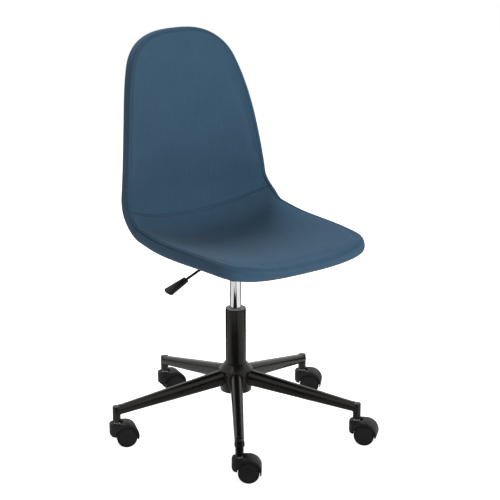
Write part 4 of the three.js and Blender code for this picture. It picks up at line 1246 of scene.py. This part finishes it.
class CHAIR_OT_stitches(bpy.types.Operator):
    """Sew the seams: rows of short stitches lying on the fabric"""

    bl_idname = "chair.stitches"
    bl_label = "Stitches"

    def execute(self, context):
        settings = context.scene.chair_fabric
        bucket = Bucket()
        trees = {
            name: surface_tree(bpy.data.objects[name])
            for name in ("seat_cushion", "back_cushion", "outer_wrap")
        }
        pads = [trees["seat_cushion"], trees["back_cushion"]]
        places = self.along(settings, bucket, bucket.outline(RIM_STITCHES), [trees["outer_wrap"]])
        for s in (bucket.SEAM - STITCH_ROW, bucket.SEAM + STITCH_ROW):
            width = bucket.half_width(s) - ROW_END
            row = [(s, x) for x in evenly(-width, width, 4 * MM)]
            places += self.along(settings, bucket, row, pads)
        runs = []
        for i in range(0, len(places), STITCHES_IN_RUN):
            run = bmesh.new()
            for place in places[i : i + STITCHES_IN_RUN]:
                bmesh.ops.create_uvsphere(run, u_segments=6, v_segments=4, radius=1, matrix=place)
            runs.append(run)
        build = together(runs)
        piece = finish_piece("seam_stitches", "seat", "blue_fabric", build, "sewing_thread")
        piece.data.set_sharp_from_angle(angle=math.pi)
        return {"FINISHED"}

    def along(self, settings, bucket, row, trees):
        """Places for stitches along a row of (s, x) places, on the nearest of the surfaces."""
        path = []
        for s, x in row:
            near = bucket.point(s, x, 0)
            hits = [tree.find_nearest(near) for tree in trees]
            place, normal, _, _ = min(hits, key=lambda hit: hit[3])
            path.append((place, normal))
        radius = settings.thread_radius
        size = Matrix.Diagonal((settings.stitch_length / 2, radius * 1.3, radius, 1))
        places = []
        for place, along, normal in paced(path, settings.stitch_length + settings.stitch_gap):
            across = normal.cross(along).normalized()
            basis = Matrix((along, across, normal)).transposed().to_4x4()
            centre = Matrix.Translation(place + normal * radius * 0.25)
            places.append(centre @ basis @ size)
        return places


def paced(path, pitch):
    """Places a pitch apart along a path of (point, normal), with the direction there."""
    left = pitch / 2
    for (a, up_a), (b, up_b) in zip(path, path[1:]):
        span = (b - a).length
        if span == 0:
            continue
        along = (b - a) / span
        while left < span:
            normal = up_a.lerp(up_b, left / span)
            normal = (normal - along * normal.dot(along)).normalized()
            yield a + along * left, along, normal
            left += pitch
        left -= span


def surface_tree(piece):
    """A finished piece's surface, to look for the nearest point on."""
    shape = bmesh.new()
    shape.from_object(piece, bpy.context.evaluated_depsgraph_get())
    tree = BVHTree.FromBMesh(shape)
    shape.free()
    return tree


# ------------------------------------------------------------------ base
HUB_R = 38.5 * MM
HUB_SHOULDER_R = 41.8 * MM
HUB_FLARE = 9 * MM  # height over which the drum widens to its shoulder
HUB_CAP = 17.5 * MM  # height of the sloping top over the shoulder
HUB_WALL = 3 * MM
LEG_SIDES = 40
LEG_RINGS = 9
LEG_ROUNDING = 0.741  # 1 is an ellipse, less is boxier
LEG_ROOT = (15.5 * MM, 20 * MM)  # half width and half height of the oval
LEG_TIP = (11.2 * MM, 11.3 * MM)
LEG_ROOT_DROP = 21 * MM  # of the leg's middle below the shoulder
LEG_GAP = 0.3 * MM
SOCKET_R = 9.8 * MM
SOCKET_BORE_R = 6.3 * MM
SOCKET_CAP = 7 * MM
COLUMN_TAPER_TOP = 72.5 * MM  # above the hub's lower rim
COLUMN_FOOT_R = 23.8 * MM


def hub_levels():
    """The hub's lower rim, shoulder and top."""
    low, high = bottom("base_hub"), top("base_hub")
    return low, high - HUB_CAP, high


class CHAIR_OT_hub(bpy.types.Operator):
    """Build the hub: a drum with a flared, sloping shoulder and an inner sleeve"""

    bl_idname = "chair.hub"
    bl_label = "Hub"

    def execute(self, context):
        low, shoulder, high = hub_levels()
        bend = low + COLUMN_TAPER_TOP
        profile = ring_profile(
            HUB_R,
            low,
            shoulder,
            (HUB_R, shoulder - HUB_FLARE),
            (HUB_SHOULDER_R, shoulder - 0.6 * MM),
            (27.6 * MM, high - 2.2 * MM),
            (26.6 * MM, high - 1.6 * MM),
            (25.35 * MM, high - 1.6 * MM),
            (25.35 * MM, bend),
            (24.2 * MM, low),
            (27.2 * MM, low),
            (28.3 * MM, shoulder),
            (HUB_R - HUB_WALL, shoulder - HUB_WALL),
            (HUB_R - HUB_WALL, low),
            (HUB_R, low),
        )
        build = turned(rounded(profile, 1.2 * MM), 96, REST)
        piece = finish_piece("hub_drum", "base", "painted_steel", build)
        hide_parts("base_hub")
        return {"FINISHED"}


def hub_radius(z):
    """Outer radius of the hub at a height."""
    _, shoulder, _ = hub_levels()
    rise = (z - (shoulder - HUB_FLARE)) / HUB_FLARE
    return HUB_R + (HUB_SHOULDER_R - HUB_R) * min(1, max(0, rise))


def meets(a, b, centre_x, radius, leaving):
    """Where the line from a to b crosses an upright cylinder round (centre_x, 0)."""
    step = b - a
    x = a.x - centre_x
    p = step.x**2 + step.y**2
    q = x * step.x + a.y * step.y
    root = math.sqrt(max(0, q * q - p * (x * x + a.y**2 - radius**2)))
    return a + step * ((-q + root) / p if leaving else (-q - root) / p)


class CHAIR_OT_legs(bpy.types.Operator):
    """Build the five oval leg tubes with their weld beads, and the caster sockets"""

    bl_idname = "chair.legs"
    bl_label = "Legs and sockets"

    def execute(self, context):
        metal = context.scene.chair_metal
        reach = (stem_place(1) - Vector((AXIS_X, AXIS_Y, 0))).length
        _, shoulder, _ = hub_levels()
        socket_low, socket_high = bottom("leg_socket_1"), top("leg_socket_1")
        root = Vector((HUB_R - HUB_WALL, 0, shoulder - LEG_ROOT_DROP))
        tip = Vector((reach, 0, socket_high - LEG_TIP[1]))
        starts, ends = self.oval_ends(root, tip)
        weld = bead(starts, metal.weld_radius, lumps=0.12)
        weld_tip = bead(ends, metal.weld_radius * 0.7, lumps=0.1)
        leg = together([self.tube(starts, ends), weld, weld_tip])
        socket = self.socket(socket_low, socket_high)
        for k in LEGS:
            name, place = f"leg_tube_{k}", leg_place(k)
            piece = placed_piece(name, "base", "painted_steel", leg, place)
            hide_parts(f"leg_{k}")
            name, place = f"socket_tube_{k}", Matrix.Translation(stem_place(k))
            piece = placed_piece(name, "base", "painted_steel", socket, place)
            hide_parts(f"leg_socket_{k}")
        leg.free()
        socket.free()
        return {"FINISHED"}

    def oval_ends(self, root, tip):
        """Where the lines of the oval tube meet the hub and the caster's socket."""
        starts, ends = [], []
        for j in range(LEG_SIDES):
            angle = 2 * math.pi * j / LEG_SIDES
            c, s = math.cos(angle), math.sin(angle)
            y = math.copysign(abs(c) ** LEG_ROUNDING, c)
            z = math.copysign(abs(s) ** LEG_ROUNDING, s)
            a = root + Vector((0, y * LEG_ROOT[0], z * LEG_ROOT[1]))
            b = tip + Vector((0, y * LEG_TIP[0], z * LEG_TIP[1]))
            starts.append(meets(a, b, 0, hub_radius(a.z) + LEG_GAP, True))
            ends.append(meets(a, b, tip.x, SOCKET_R + LEG_GAP, False))
        return starts, ends

    def tube(self, starts, ends):
        """The closed tube between the two ends."""
        tube = bmesh.new()
        rings = []
        for i in range(LEG_RINGS):
            share = i / (LEG_RINGS - 1)
            ring = [tube.verts.new(a.lerp(b, share)) for a, b in zip(starts, ends)]
            rings.append([tube.edges.new(pair) for pair in zip(ring, ring[1:] + ring[:1])])
        for first, second in zip(rings, rings[1:]):
            bmesh.ops.bridge_loops(tube, edges=first + second)
        bmesh.ops.holes_fill(tube, edges=rings[0] + rings[-1], sides=0)
        bmesh.ops.recalc_face_normals(tube, faces=tube.faces)
        return tube

    def socket(self, low, high):
        """A tube, open below and closed at the top, that takes a caster's stem."""
        profile = [
            (0, high - SOCKET_CAP),
            (SOCKET_BORE_R, high - SOCKET_CAP),
            (SOCKET_BORE_R, low),
            (SOCKET_R, low),
            (SOCKET_R, high),
            (0, high),
        ]
        return turned(rounded(profile, 1.2 * MM, 4, sharp=(1, 2, 3)), 48)


# ------------------------------------------------------------------ casters
WHEEL_R = 25 * MM
WHEEL_WIDTH = 18.7 * MM
AXLE_BORE_R = 3.3 * MM
HOOD_R = 30 * MM
HOOD_GAP = 1.4 * MM
NECK_R = 18.5 * MM
HOOD_HALF_WIDTH = 22.8 * MM
WEB_HALF = 3 * MM
TRAIL = 21.5 * MM  # of the axle behind the stem
BEYOND = 40 * MM  # past the hood's sides, for cutters


def arc(centre, radius, start, end, steps):
    """Points of an arc, in degrees."""
    points = []
    for i in range(steps + 1):
        angle = math.radians(start + (end - start) * i / steps)
        x, y = radius * math.cos(angle), radius * math.sin(angle)
        points.append((centre[0] + x, centre[1] + y))
    return points


def on_axle(shape, turn):
    """Lays a shape that was turned about Z on the wheels' axle."""
    shape.transform(Matrix.Rotation(turn, 4, "X"))
    shape.transform(Matrix.Translation((TRAIL, 0, WHEEL_R)))
    return shape


class CHAIR_OT_casters(bpy.types.Operator):
    """Build the five casters: stems, hoods and twin wheels"""

    bl_idname = "chair.casters"
    bl_label = "Casters"

    def execute(self, context):
        metal = context.scene.chair_metal
        shapes = {
            "stem": (self.stem(), "bright_steel"),
            "hood": (self.hood(metal.edge_round), "black_nylon"),
        }
        wheel = self.wheel()
        for k in LEGS:
            place = caster_place(k)
            for kind, (shape, slot) in shapes.items():
                piece = placed_piece(f"{kind}_{k}", f"caster_{k}", slot, shape, place)
                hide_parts(f"caster_{kind}_{k}")
            for side, turn in (("left", -1), ("right", 1)):
                hang = Matrix.Translation((TRAIL, 0, WHEEL_R))
                hang = place @ (hang @ Matrix.Rotation(turn * math.pi / 2, 4, "X"))
                name, body = f"{side}_wheel_{k}", f"wheel_{k}_{side}"
                piece = placed_piece(name, body, "black_nylon", wheel, hang, "wheel_nylon")
                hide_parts(body)
        for shape, _ in shapes.values():
            shape.free()
        wheel.free()
        return {"FINISHED"}

    def stem(self):
        """A stem with a flange under the socket and a snap ring near its top."""
        low, high = bottom("caster_stem_1"), top("caster_stem_1")
        flange = low + 8.8 * MM
        profile = [
            (0, low),
            (4 * MM, low),
            (4 * MM, flange),
            (7.2 * MM, flange),
            (7.2 * MM, flange + 1.8 * MM),
            (5.5 * MM, flange + 1.8 * MM),
            (5.5 * MM, high - 10 * MM),
            (6 * MM, high - 9 * MM),
            (6 * MM, high - 6 * MM),
            (5.5 * MM, high - 5 * MM),
            (5.5 * MM, high - 2 * MM),
            (3.5 * MM, high),
            (0, high),
        ]
        return turned(rounded(profile, 0.5 * MM, 2), 32)

    def hood(self, edge_round):
        """A mudguard over both wheels, the web between them and the neck round the stem."""
        neck = top("caster_hood_1")
        body = raised(self.hood_side(neck), -BEYOND, BEYOND)
        body.transform(Matrix.Rotation(math.pi / 2, 4, "X"))
        plan = arc((0, 0), NECK_R, 105, 255, 20)
        plan += [(TRAIL - 12 * MM, -HOOD_HALF_WIDTH), (TRAIL + HOOD_R, -HOOD_HALF_WIDTH)]
        plan += [(TRAIL + HOOD_R, HOOD_HALF_WIDTH), (TRAIL - 12 * MM, HOOD_HALF_WIDTH)]
        body = carved(body, [raised(plan, 0, 90 * MM)], "INTERSECT")
        wells = [
            on_axle(cylinder(WHEEL_R + HOOD_GAP, WEB_HALF, BEYOND, 72), turn)
            for turn in (math.pi / 2, -math.pi / 2)
        ]
        pocket = cylinder(12.5 * MM, neck - 3 * MM, 80 * MM, 48)
        pocket.transform(Matrix.Translation((3.5 * MM, 0, 0)))
        hole = cylinder(4.3 * MM, neck - 11.8 * MM, neck, 24)
        bore = on_axle(cylinder(AXLE_BORE_R, -20 * MM, 20 * MM, 24), math.pi / 2)
        body = carved(body, [*wells, pocket, hole, bore])
        bmesh.ops.remove_doubles(body, verts=body.verts, dist=0.02 * MM)
        return soften(body, edge_round, 2, 35)

    def hood_side(self, neck):
        """The hood seen from the side: the round guard, the flat top and the neck."""
        side = [(TRAIL - 9 * MM, 13.5 * MM), (TRAIL + 9 * MM, 13.5 * MM)]
        side += arc((TRAIL, neck - HOOD_R), HOOD_R, -15, 90, 24)
        side += [(4 * MM - NECK_R, neck)]
        side += arc((4 * MM - NECK_R, neck - 4 * MM), 4 * MM, 90, 180, 5)[1:]
        side += arc((8 * MM - NECK_R, 34 * MM), 8 * MM, 180, 270, 7)
        return side + [(TRAIL - WHEEL_R, 26 * MM)]

    def wheel(self):
        """A wheel about Z, inner side down: rounded tread, edge groove and a domed disc."""
        inner = WEB_HALF + 0.6 * MM
        outer = inner + WHEEL_WIDTH
        profile = [
            (0, 17.3 * MM),
            (AXLE_BORE_R, 17.3 * MM),
            (AXLE_BORE_R, inner),
            (WHEEL_R, inner),
            (WHEEL_R, outer),
            (23.2 * MM, outer),
            (22.8 * MM, outer - 1.3 * MM),
            (22.1 * MM, outer - 1.3 * MM),
            (21.7 * MM, outer - 0.1 * MM),
            (13.8 * MM, outer + 0.8 * MM),
            (0, outer + 1.1 * MM),
        ]
        return turned(rounded(profile, 1.4 * MM, 4, sharp=(1, 6, 7)), 64)


# ------------------------------------------------------------------ gas lift
COLUMN_R = 25 * MM
BUSH_R = 22.7 * MM
CYLINDER_R = 14 * MM
PIN_R = 5.3 * MM  # of the holes at the lower ends of the column and the cylinder


class CHAIR_OT_lift(bpy.types.Operator):
    """Build the column tube, its guide bush and the chromed cylinder"""

    bl_idname = "chair.lift"
    bl_label = "Gas lift"

    def execute(self, context):
        self.column()
        self.bush()
        self.cylinder()
        return {"FINISHED"}

    def column(self):
        """A tube that tapers at its foot, where it stands in the hub."""
        low, high = bottom("column_tube"), top("column_tube")
        bend = low + 66 * MM
        tube = ring_profile(
            COLUMN_R,
            bend,
            high,
            (COLUMN_R, high),
            (23 * MM, high),
            (23 * MM, bend),
            (21.8 * MM, low + 5 * MM),
            (PIN_R, low + 5 * MM),
            (PIN_R, low),
            (COLUMN_FOOT_R, low),
            (COLUMN_R, bend),
        )
        build = turned(rounded(tube, 0.9 * MM, 4), 96, REST)
        piece = finish_piece("lift_column", "base", "painted_steel", build)
        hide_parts("column_tube")

    def bush(self):
        low, high = bottom("guide_bush"), top("guide_bush")
        inner = 14.3 * MM
        wall = [(BUSH_R, high), (inner, high), (inner, low), (BUSH_R, low)]
        build = turned(rounded(ring_profile(BUSH_R, low, high, *wall), 1.1 * MM, 4), 96, REST)
        piece = finish_piece("column_bush", "base", "pale_nylon", build)
        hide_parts("guide_bush")

    def cylinder(self):
        """The cylinder, tapered at its top, where the seat's socket sits on it."""
        low, high = bottom("gas_cylinder"), top("gas_cylinder")
        profile = [
            (0, high - 25 * MM),
            (12 * MM, high - 25 * MM),
            (12 * MM, low + 12 * MM),
            (PIN_R, low + 12 * MM),
            (PIN_R, low),
            (CYLINDER_R, low),
            (CYLINDER_R, high - 36 * MM),
            (13 * MM, high),
            (4.3 * MM, high),
            (4.3 * MM, high - 20 * MM),
            (0, high - 20 * MM),
        ]
        build = turned(rounded(profile, 0.8 * MM), 128, REST)
        piece = finish_piece("chrome_cylinder", "seat", "chrome", build)
        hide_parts("gas_cylinder")


# ------------------------------------------------------------------ mechanism and lever
LEVER_R = 3.25 * MM
LEVER_YAW = math.radians(-5)
LEVER_SLOPE = math.radians(25)
LEVER_STRAIGHT = 92 * MM
LEVER_BEND_R = 26 * MM
LEVER_BEND_STEPS = 8
LEVER_SLOPED = 61 * MM
SLEEVE_R = 18 * MM
PADDLE_HALF = 4.25 * MM  # of its thickness
PADDLE_OVERLAP = 24 * MM  # of the rod in the paddle


class CHAIR_OT_mechanism(bpy.types.Operator):
    """Build the steelwork under the seat: taper socket, box, plate, screws and lever block"""

    bl_idname = "chair.mechanism"
    bl_label = "Seat mechanism"

    def execute(self, context):
        low, high = bottom("taper_socket"), top("taper_socket")
        taper = [(SLEEVE_R, high), (13.4 * MM, high), (14.25 * MM, low), (SLEEVE_R, low)]
        build = turned(rounded(ring_profile(SLEEVE_R, low, high, *taper), 0.8 * MM), 64, REST)
        piece = finish_piece("socket_sleeve", "seat", "painted_steel", build)
        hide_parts("taper_socket")
        for node, name, slot, width in (
            ("mechanism_box", "bent_box", "painted_steel", 0.9),
            ("seat_plate", "pressed_plate", "painted_steel", 0.8),
            ("lever_bush", "lever_block", "black_nylon", 0.3),
        ):
            build = soften(copied(node), width * MM, 2, 40)
            body = "lever" if frame["nodes"][node]["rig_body"] == "lever" else "seat"
            piece = finish_piece(name, body, slot, build)
            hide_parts(node)
        for k in range(1, 5):
            self.screw(k)
        return {"FINISHED"}

    def screw(self, k):
        """A pan-head screw with a hexagonal socket, its head downwards."""
        node = f"plate_screw_{k}"
        low, high = bottom(node), top(node)
        profile = [
            (0, low),
            (5.4 * MM, low),
            (5.6 * MM, low + 3.4 * MM),
            (2.8 * MM, low + 3.4 * MM),
            (2.8 * MM, high),
            (0, high),
        ]
        build = turned(rounded(profile, 1.6 * MM, 5, sharp=(2, 3, 4)), 32)
        key = raised(arc((0, 0), 2.2 * MM, 0, 300, 5), low - 1 * MM, low + 2 * MM)
        build = carved(build, [key])
        place = middle(node)
        build.transform(Matrix.Translation((place.x, place.y, 0)))
        piece = finish_piece(f"pan_screw_{k}", "seat", "bright_steel", build)
        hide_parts(node)


class CHAIR_OT_lever(bpy.types.Operator):
    """Build the release lever: a bent rod and its flat paddle"""

    bl_idname = "chair.lever"
    bl_label = "Release lever"

    def execute(self, context):
        height = top("lever_rod") - LEVER_R
        level = Vector((-LEVER_STRAIGHT, 0, height))
        path = [Vector((5 * MM, 0, height)), Vector((4 * MM, 0, height)), level]
        for i in range(1, LEVER_BEND_STEPS + 1):
            turn = LEVER_SLOPE * i / LEVER_BEND_STEPS
            out, down = LEVER_BEND_R * math.sin(turn), LEVER_BEND_R * (1 - math.cos(turn))
            path.append(level + Vector((-out, 0, -down)))
        outward = Vector((-math.cos(LEVER_SLOPE), 0, -math.sin(LEVER_SLOPE)))
        end = path[-1] + outward * LEVER_SLOPED
        path += [end - outward * 1 * MM, end]
        place = REST @ Matrix.Rotation(LEVER_YAW, 4, "Z")
        rod = bead(path, LEVER_R, closed=False, sides=24)
        rod.transform(place)
        piece = finish_piece("bent_rod", "lever", "painted_steel", rod)
        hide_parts("lever_rod")

        blade = [
            (0, -8 * MM),
            (53.5 * MM, -16.5 * MM),
            (58 * MM, -12 * MM),
            (58 * MM, 12 * MM),
            (53.5 * MM, 16.5 * MM),
            (0, 8 * MM),
        ]
        build = soften(raised(blade, -PADDLE_HALF, PADDLE_HALF), 0.9 * MM, 3, 30)
        start = end - outward * PADDLE_OVERLAP
        turn = Matrix.Rotation(math.pi, 4, "Z") @ Matrix.Rotation(LEVER_SLOPE, 4, "Y")
        build.transform(place @ Matrix.Translation(start) @ turn)
        piece = finish_piece("flat_paddle", "lever", "black_nylon", build)
        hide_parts("lever_paddle")
        return {"FINISHED"}


class CHAIR_OT_hidden_parts(bpy.types.Operator):
    """Give the parts that stay as they are packed their finishes"""

    bl_idname = "chair.hidden_parts"
    bl_label = "Hidden parts"

    def execute(self, context):
        steel = ["bearing_race", "bearing_cage", "piston_rod", "rod_clip", "release_pin"]
        steel += ["pivot_pin", *(f"caster_axle_{k}" for k in LEGS)]
        looks = {"seat_shell": "shell_plastic", **dict.fromkeys(steel, "bright_steel")}
        for node, look in looks.items():
            materials = frame["nodes"][node].data.materials
            materials.clear()
            materials.append(Finishes.get(look))
        return {"FINISHED"}


# ------------------------------------------------------------------ stage
CAMERA_TURN = math.radians(36.985)
CAMERA_TILT = math.radians(16.96)
CAMERA_AWAY = 4.0
CAMERA_AIM = (0.0347, 0.4613)  # sideways from the column's axis, and height
LAMP_AIM = 0.45  # height on the column's axis
BACK_KEY_FACTOR = 14  # times the key's power


class CHAIR_OT_stage(bpy.types.Operator):
    """Lay the floor, the light and the camera"""

    bl_idname = "chair.stage"
    bl_label = "Floor, light and camera"

    def execute(self, context):
        stage = context.scene.chair_stage
        self.floor(stage)
        self.sky(context.scene, stage)
        self.lamp("key", (-1.3, -0.3, 2.6), 0.9, stage.key_power)
        rear = self.lamp("back_key", (0.4, 1.5, 2.7), 1.1, stage.key_power * BACK_KEY_FACTOR)
        rear.visible_glossy = False
        front = self.lamp("front", (0.4, -3.0, 1.35), 1.8, stage.front_power)
        front.visible_glossy = False
        self.dark_card("near_card", (0.38, 0.98), (-0.6, 0.34), 0.01)
        self.dark_card("far_card", (0.98, 2.6), (0.02, 0.26), 0.05)
        self.dark_card("rear_card", (-1.0, -0.35), (-1.5, 1.5), 0.01)
        self.dark_card("high_card", (-2.6, -0.9), (-0.9, 0.9), 0.01, 2.1)
        self.camera(context.scene, stage)
        context.scene.view_settings.view_transform = "Standard"
        return {"FINISHED"}

    def floor(self, stage):
        """A white floor that the camera sees as bright as the backdrop, but for its shadow."""
        look = Look("floor_white", Roughness=1.0, Specular_IOR_Level=0.0)
        seen = look.node("ShaderNodeLightPath")[CAMERA_RAY]
        look.feed_shader(
            Base_Color=(0.9, 0.9, 0.9),
            Emission_Color=look.mixed(seen, (0.12, 0.12, 0.12), (1.0, 1.0, 1.0)),
            Emission_Strength=0.84 * stage.backdrop,
        )
        self.sheet("floor", look, Matrix.Scale(30, 4))

    def dark_card(self, name, away, across, grey, high=2 * MM):
        """A level dark card that only gloss shows: it draws the dark lines in metal.

        It lies between two distances towards the camera, and from left to right.
        """
        look = Look(f"{name}_black", Roughness=1.0, Specular_IOR_Level=0.0)
        look.feed_shader(Base_Color=(grey, grey, grey))
        (near, far), (left, right) = away, across
        place = Matrix.Translation(((left + right) / 2, -(near + far) / 2, high))
        size = Matrix.Diagonal(((right - left) / 2, (far - near) / 2, 1, 1))
        turn = Matrix.Rotation(-CAMERA_TURN, 4, "Z")
        card = self.sheet(name, look, REST @ turn @ place @ size)
        card.visible_camera = False
        card.visible_diffuse = False
        card.visible_shadow = False

    def sheet(self, name, look, place):
        """A flat square of 2 m by 2 m, put in its place as part of the stage."""
        build = bmesh.new()
        bmesh.ops.create_grid(build, x_segments=1, y_segments=1, size=1, matrix=place)
        sheet = linked(name, build)
        sheet.data.materials.append(look.material)
        return sheet

    def sky(self, scene, stage):
        """White as the camera and gloss see it, softer for the light that falls on the chair."""
        world = bpy.data.worlds.new("studio")
        scene.world = world
        world.use_nodes = True
        look = Nodes(world.node_tree)
        direction = look.node("ShaderNodeTexCoord")[0]
        height = look.node("ShaderNodeSeparateXYZ", {}, {0: direction})[2]
        light = look.ranged(height, 0.0, 0.9, 1.35, 0.2) * stage.fill
        lit = look.node("ShaderNodeBackground", {}, {0: (1.0, 1.0, 1.0), 1: light})[0]
        plain = look.node("ShaderNodeBackground", {}, {0: (1.0, 1.0, 1.0), 1: stage.backdrop})[0]
        rays = look.node("ShaderNodeLightPath")
        seen = rays[CAMERA_RAY].math("MAXIMUM", rays[GLOSSY_RAY])
        seen = seen.math("MAXIMUM", rays[TRANSMISSION_RAY])
        mixed = look.tree.nodes.new("ShaderNodeMixShader")
        out = look.tree.nodes.new("ShaderNodeOutputWorld")
        look.tree.links.new(seen.socket, mixed.inputs[0])
        look.tree.links.new(lit.socket, mixed.inputs[1])
        look.tree.links.new(plain.socket, mixed.inputs[2])
        look.tree.links.new(mixed.outputs[0], out.inputs[0])

    def lamp(self, name, place, size, power):
        """A round lamp aimed at the chair."""
        light = bpy.data.lights.new(name, "AREA")
        light.shape = "DISK"
        light.size = size
        light.energy = power
        lamp = bpy.data.objects.new(name, light)
        lamp.location = place
        aim = Vector((AXIS_X, AXIS_Y, LAMP_AIM)) - Vector(place)
        lamp.rotation_euler = aim.to_track_quat("-Z", "Y").to_euler()
        bpy.context.scene.collection.objects.link(lamp)
        return lamp

    def camera(self, scene, stage):
        """A long lens that looks slightly down on the chair."""
        lens = bpy.data.cameras.new("camera")
        lens.sensor_width = 36
        lens.lens = stage.lens
        lens.clip_end = 100
        camera = bpy.data.objects.new("camera", lens)
        sideways, height = CAMERA_AIM
        back = CAMERA_AWAY * math.cos(CAMERA_TILT)
        up = CAMERA_AWAY * math.sin(CAMERA_TILT)
        turn = Matrix.Rotation(-CAMERA_TURN, 4, "Z")
        camera.location = REST @ turn @ Vector((sideways, -back, height + up))
        camera.rotation_euler = (math.pi / 2 - CAMERA_TILT, 0, -CAMERA_TURN)
        scene.collection.objects.link(camera)
        scene.camera = camera


# ------------------------------------------------------------------ panel and registration
OPERATORS = (
    CHAIR_OT_pads,
    CHAIR_OT_cover,
    CHAIR_OT_stitches,
    CHAIR_OT_hub,
    CHAIR_OT_legs,
    CHAIR_OT_casters,
    CHAIR_OT_lift,
    CHAIR_OT_mechanism,
    CHAIR_OT_lever,
    CHAIR_OT_hidden_parts,
    CHAIR_OT_stage,
)


class CHAIR_PT_panel(bpy.types.Panel):
    """Lists the chair's pieces and the sizes that can be changed"""

    bl_idname = "CHAIR_PT_panel"
    bl_label = "Swivel Office Chair"
    bl_space_type = "VIEW_3D"
    bl_region_type = "UI"
    bl_category = "Chair"

    def draw(self, context):
        layout = self.layout
        for name in ("chair_fabric", "chair_metal", "chair_stage"):
            group = getattr(context.scene, name)
            box = layout.box()
            for prop in group.bl_rna.properties:
                if prop.identifier not in ("name", "rna_type"):
                    box.prop(group, prop.identifier)
        for operator in OPERATORS:
            layout.operator(operator.bl_idname)


GROUPS = {"chair_fabric": ChairFabric, "chair_metal": ChairMetal, "chair_stage": ChairStage}


def register():
    for kind in (*GROUPS.values(), *OPERATORS, CHAIR_PT_panel):
        bpy.utils.register_class(kind)
    for name, group in GROUPS.items():
        setattr(bpy.types.Scene, name, bpy.props.PointerProperty(type=group))


def unregister():
    for name in GROUPS:
        delattr(bpy.types.Scene, name)
    for kind in (CHAIR_PT_panel, *reversed(OPERATORS), *GROUPS.values()):
        bpy.utils.unregister_class(kind)


def main():
    """Builds the whole chair."""
    register()
    for operator in OPERATORS:
        group, name = operator.bl_idname.split(".")
        getattr(getattr(bpy.ops, group), name)()
    bpy.context.view_layer.update()


if __name__ == "__main__":
    main()
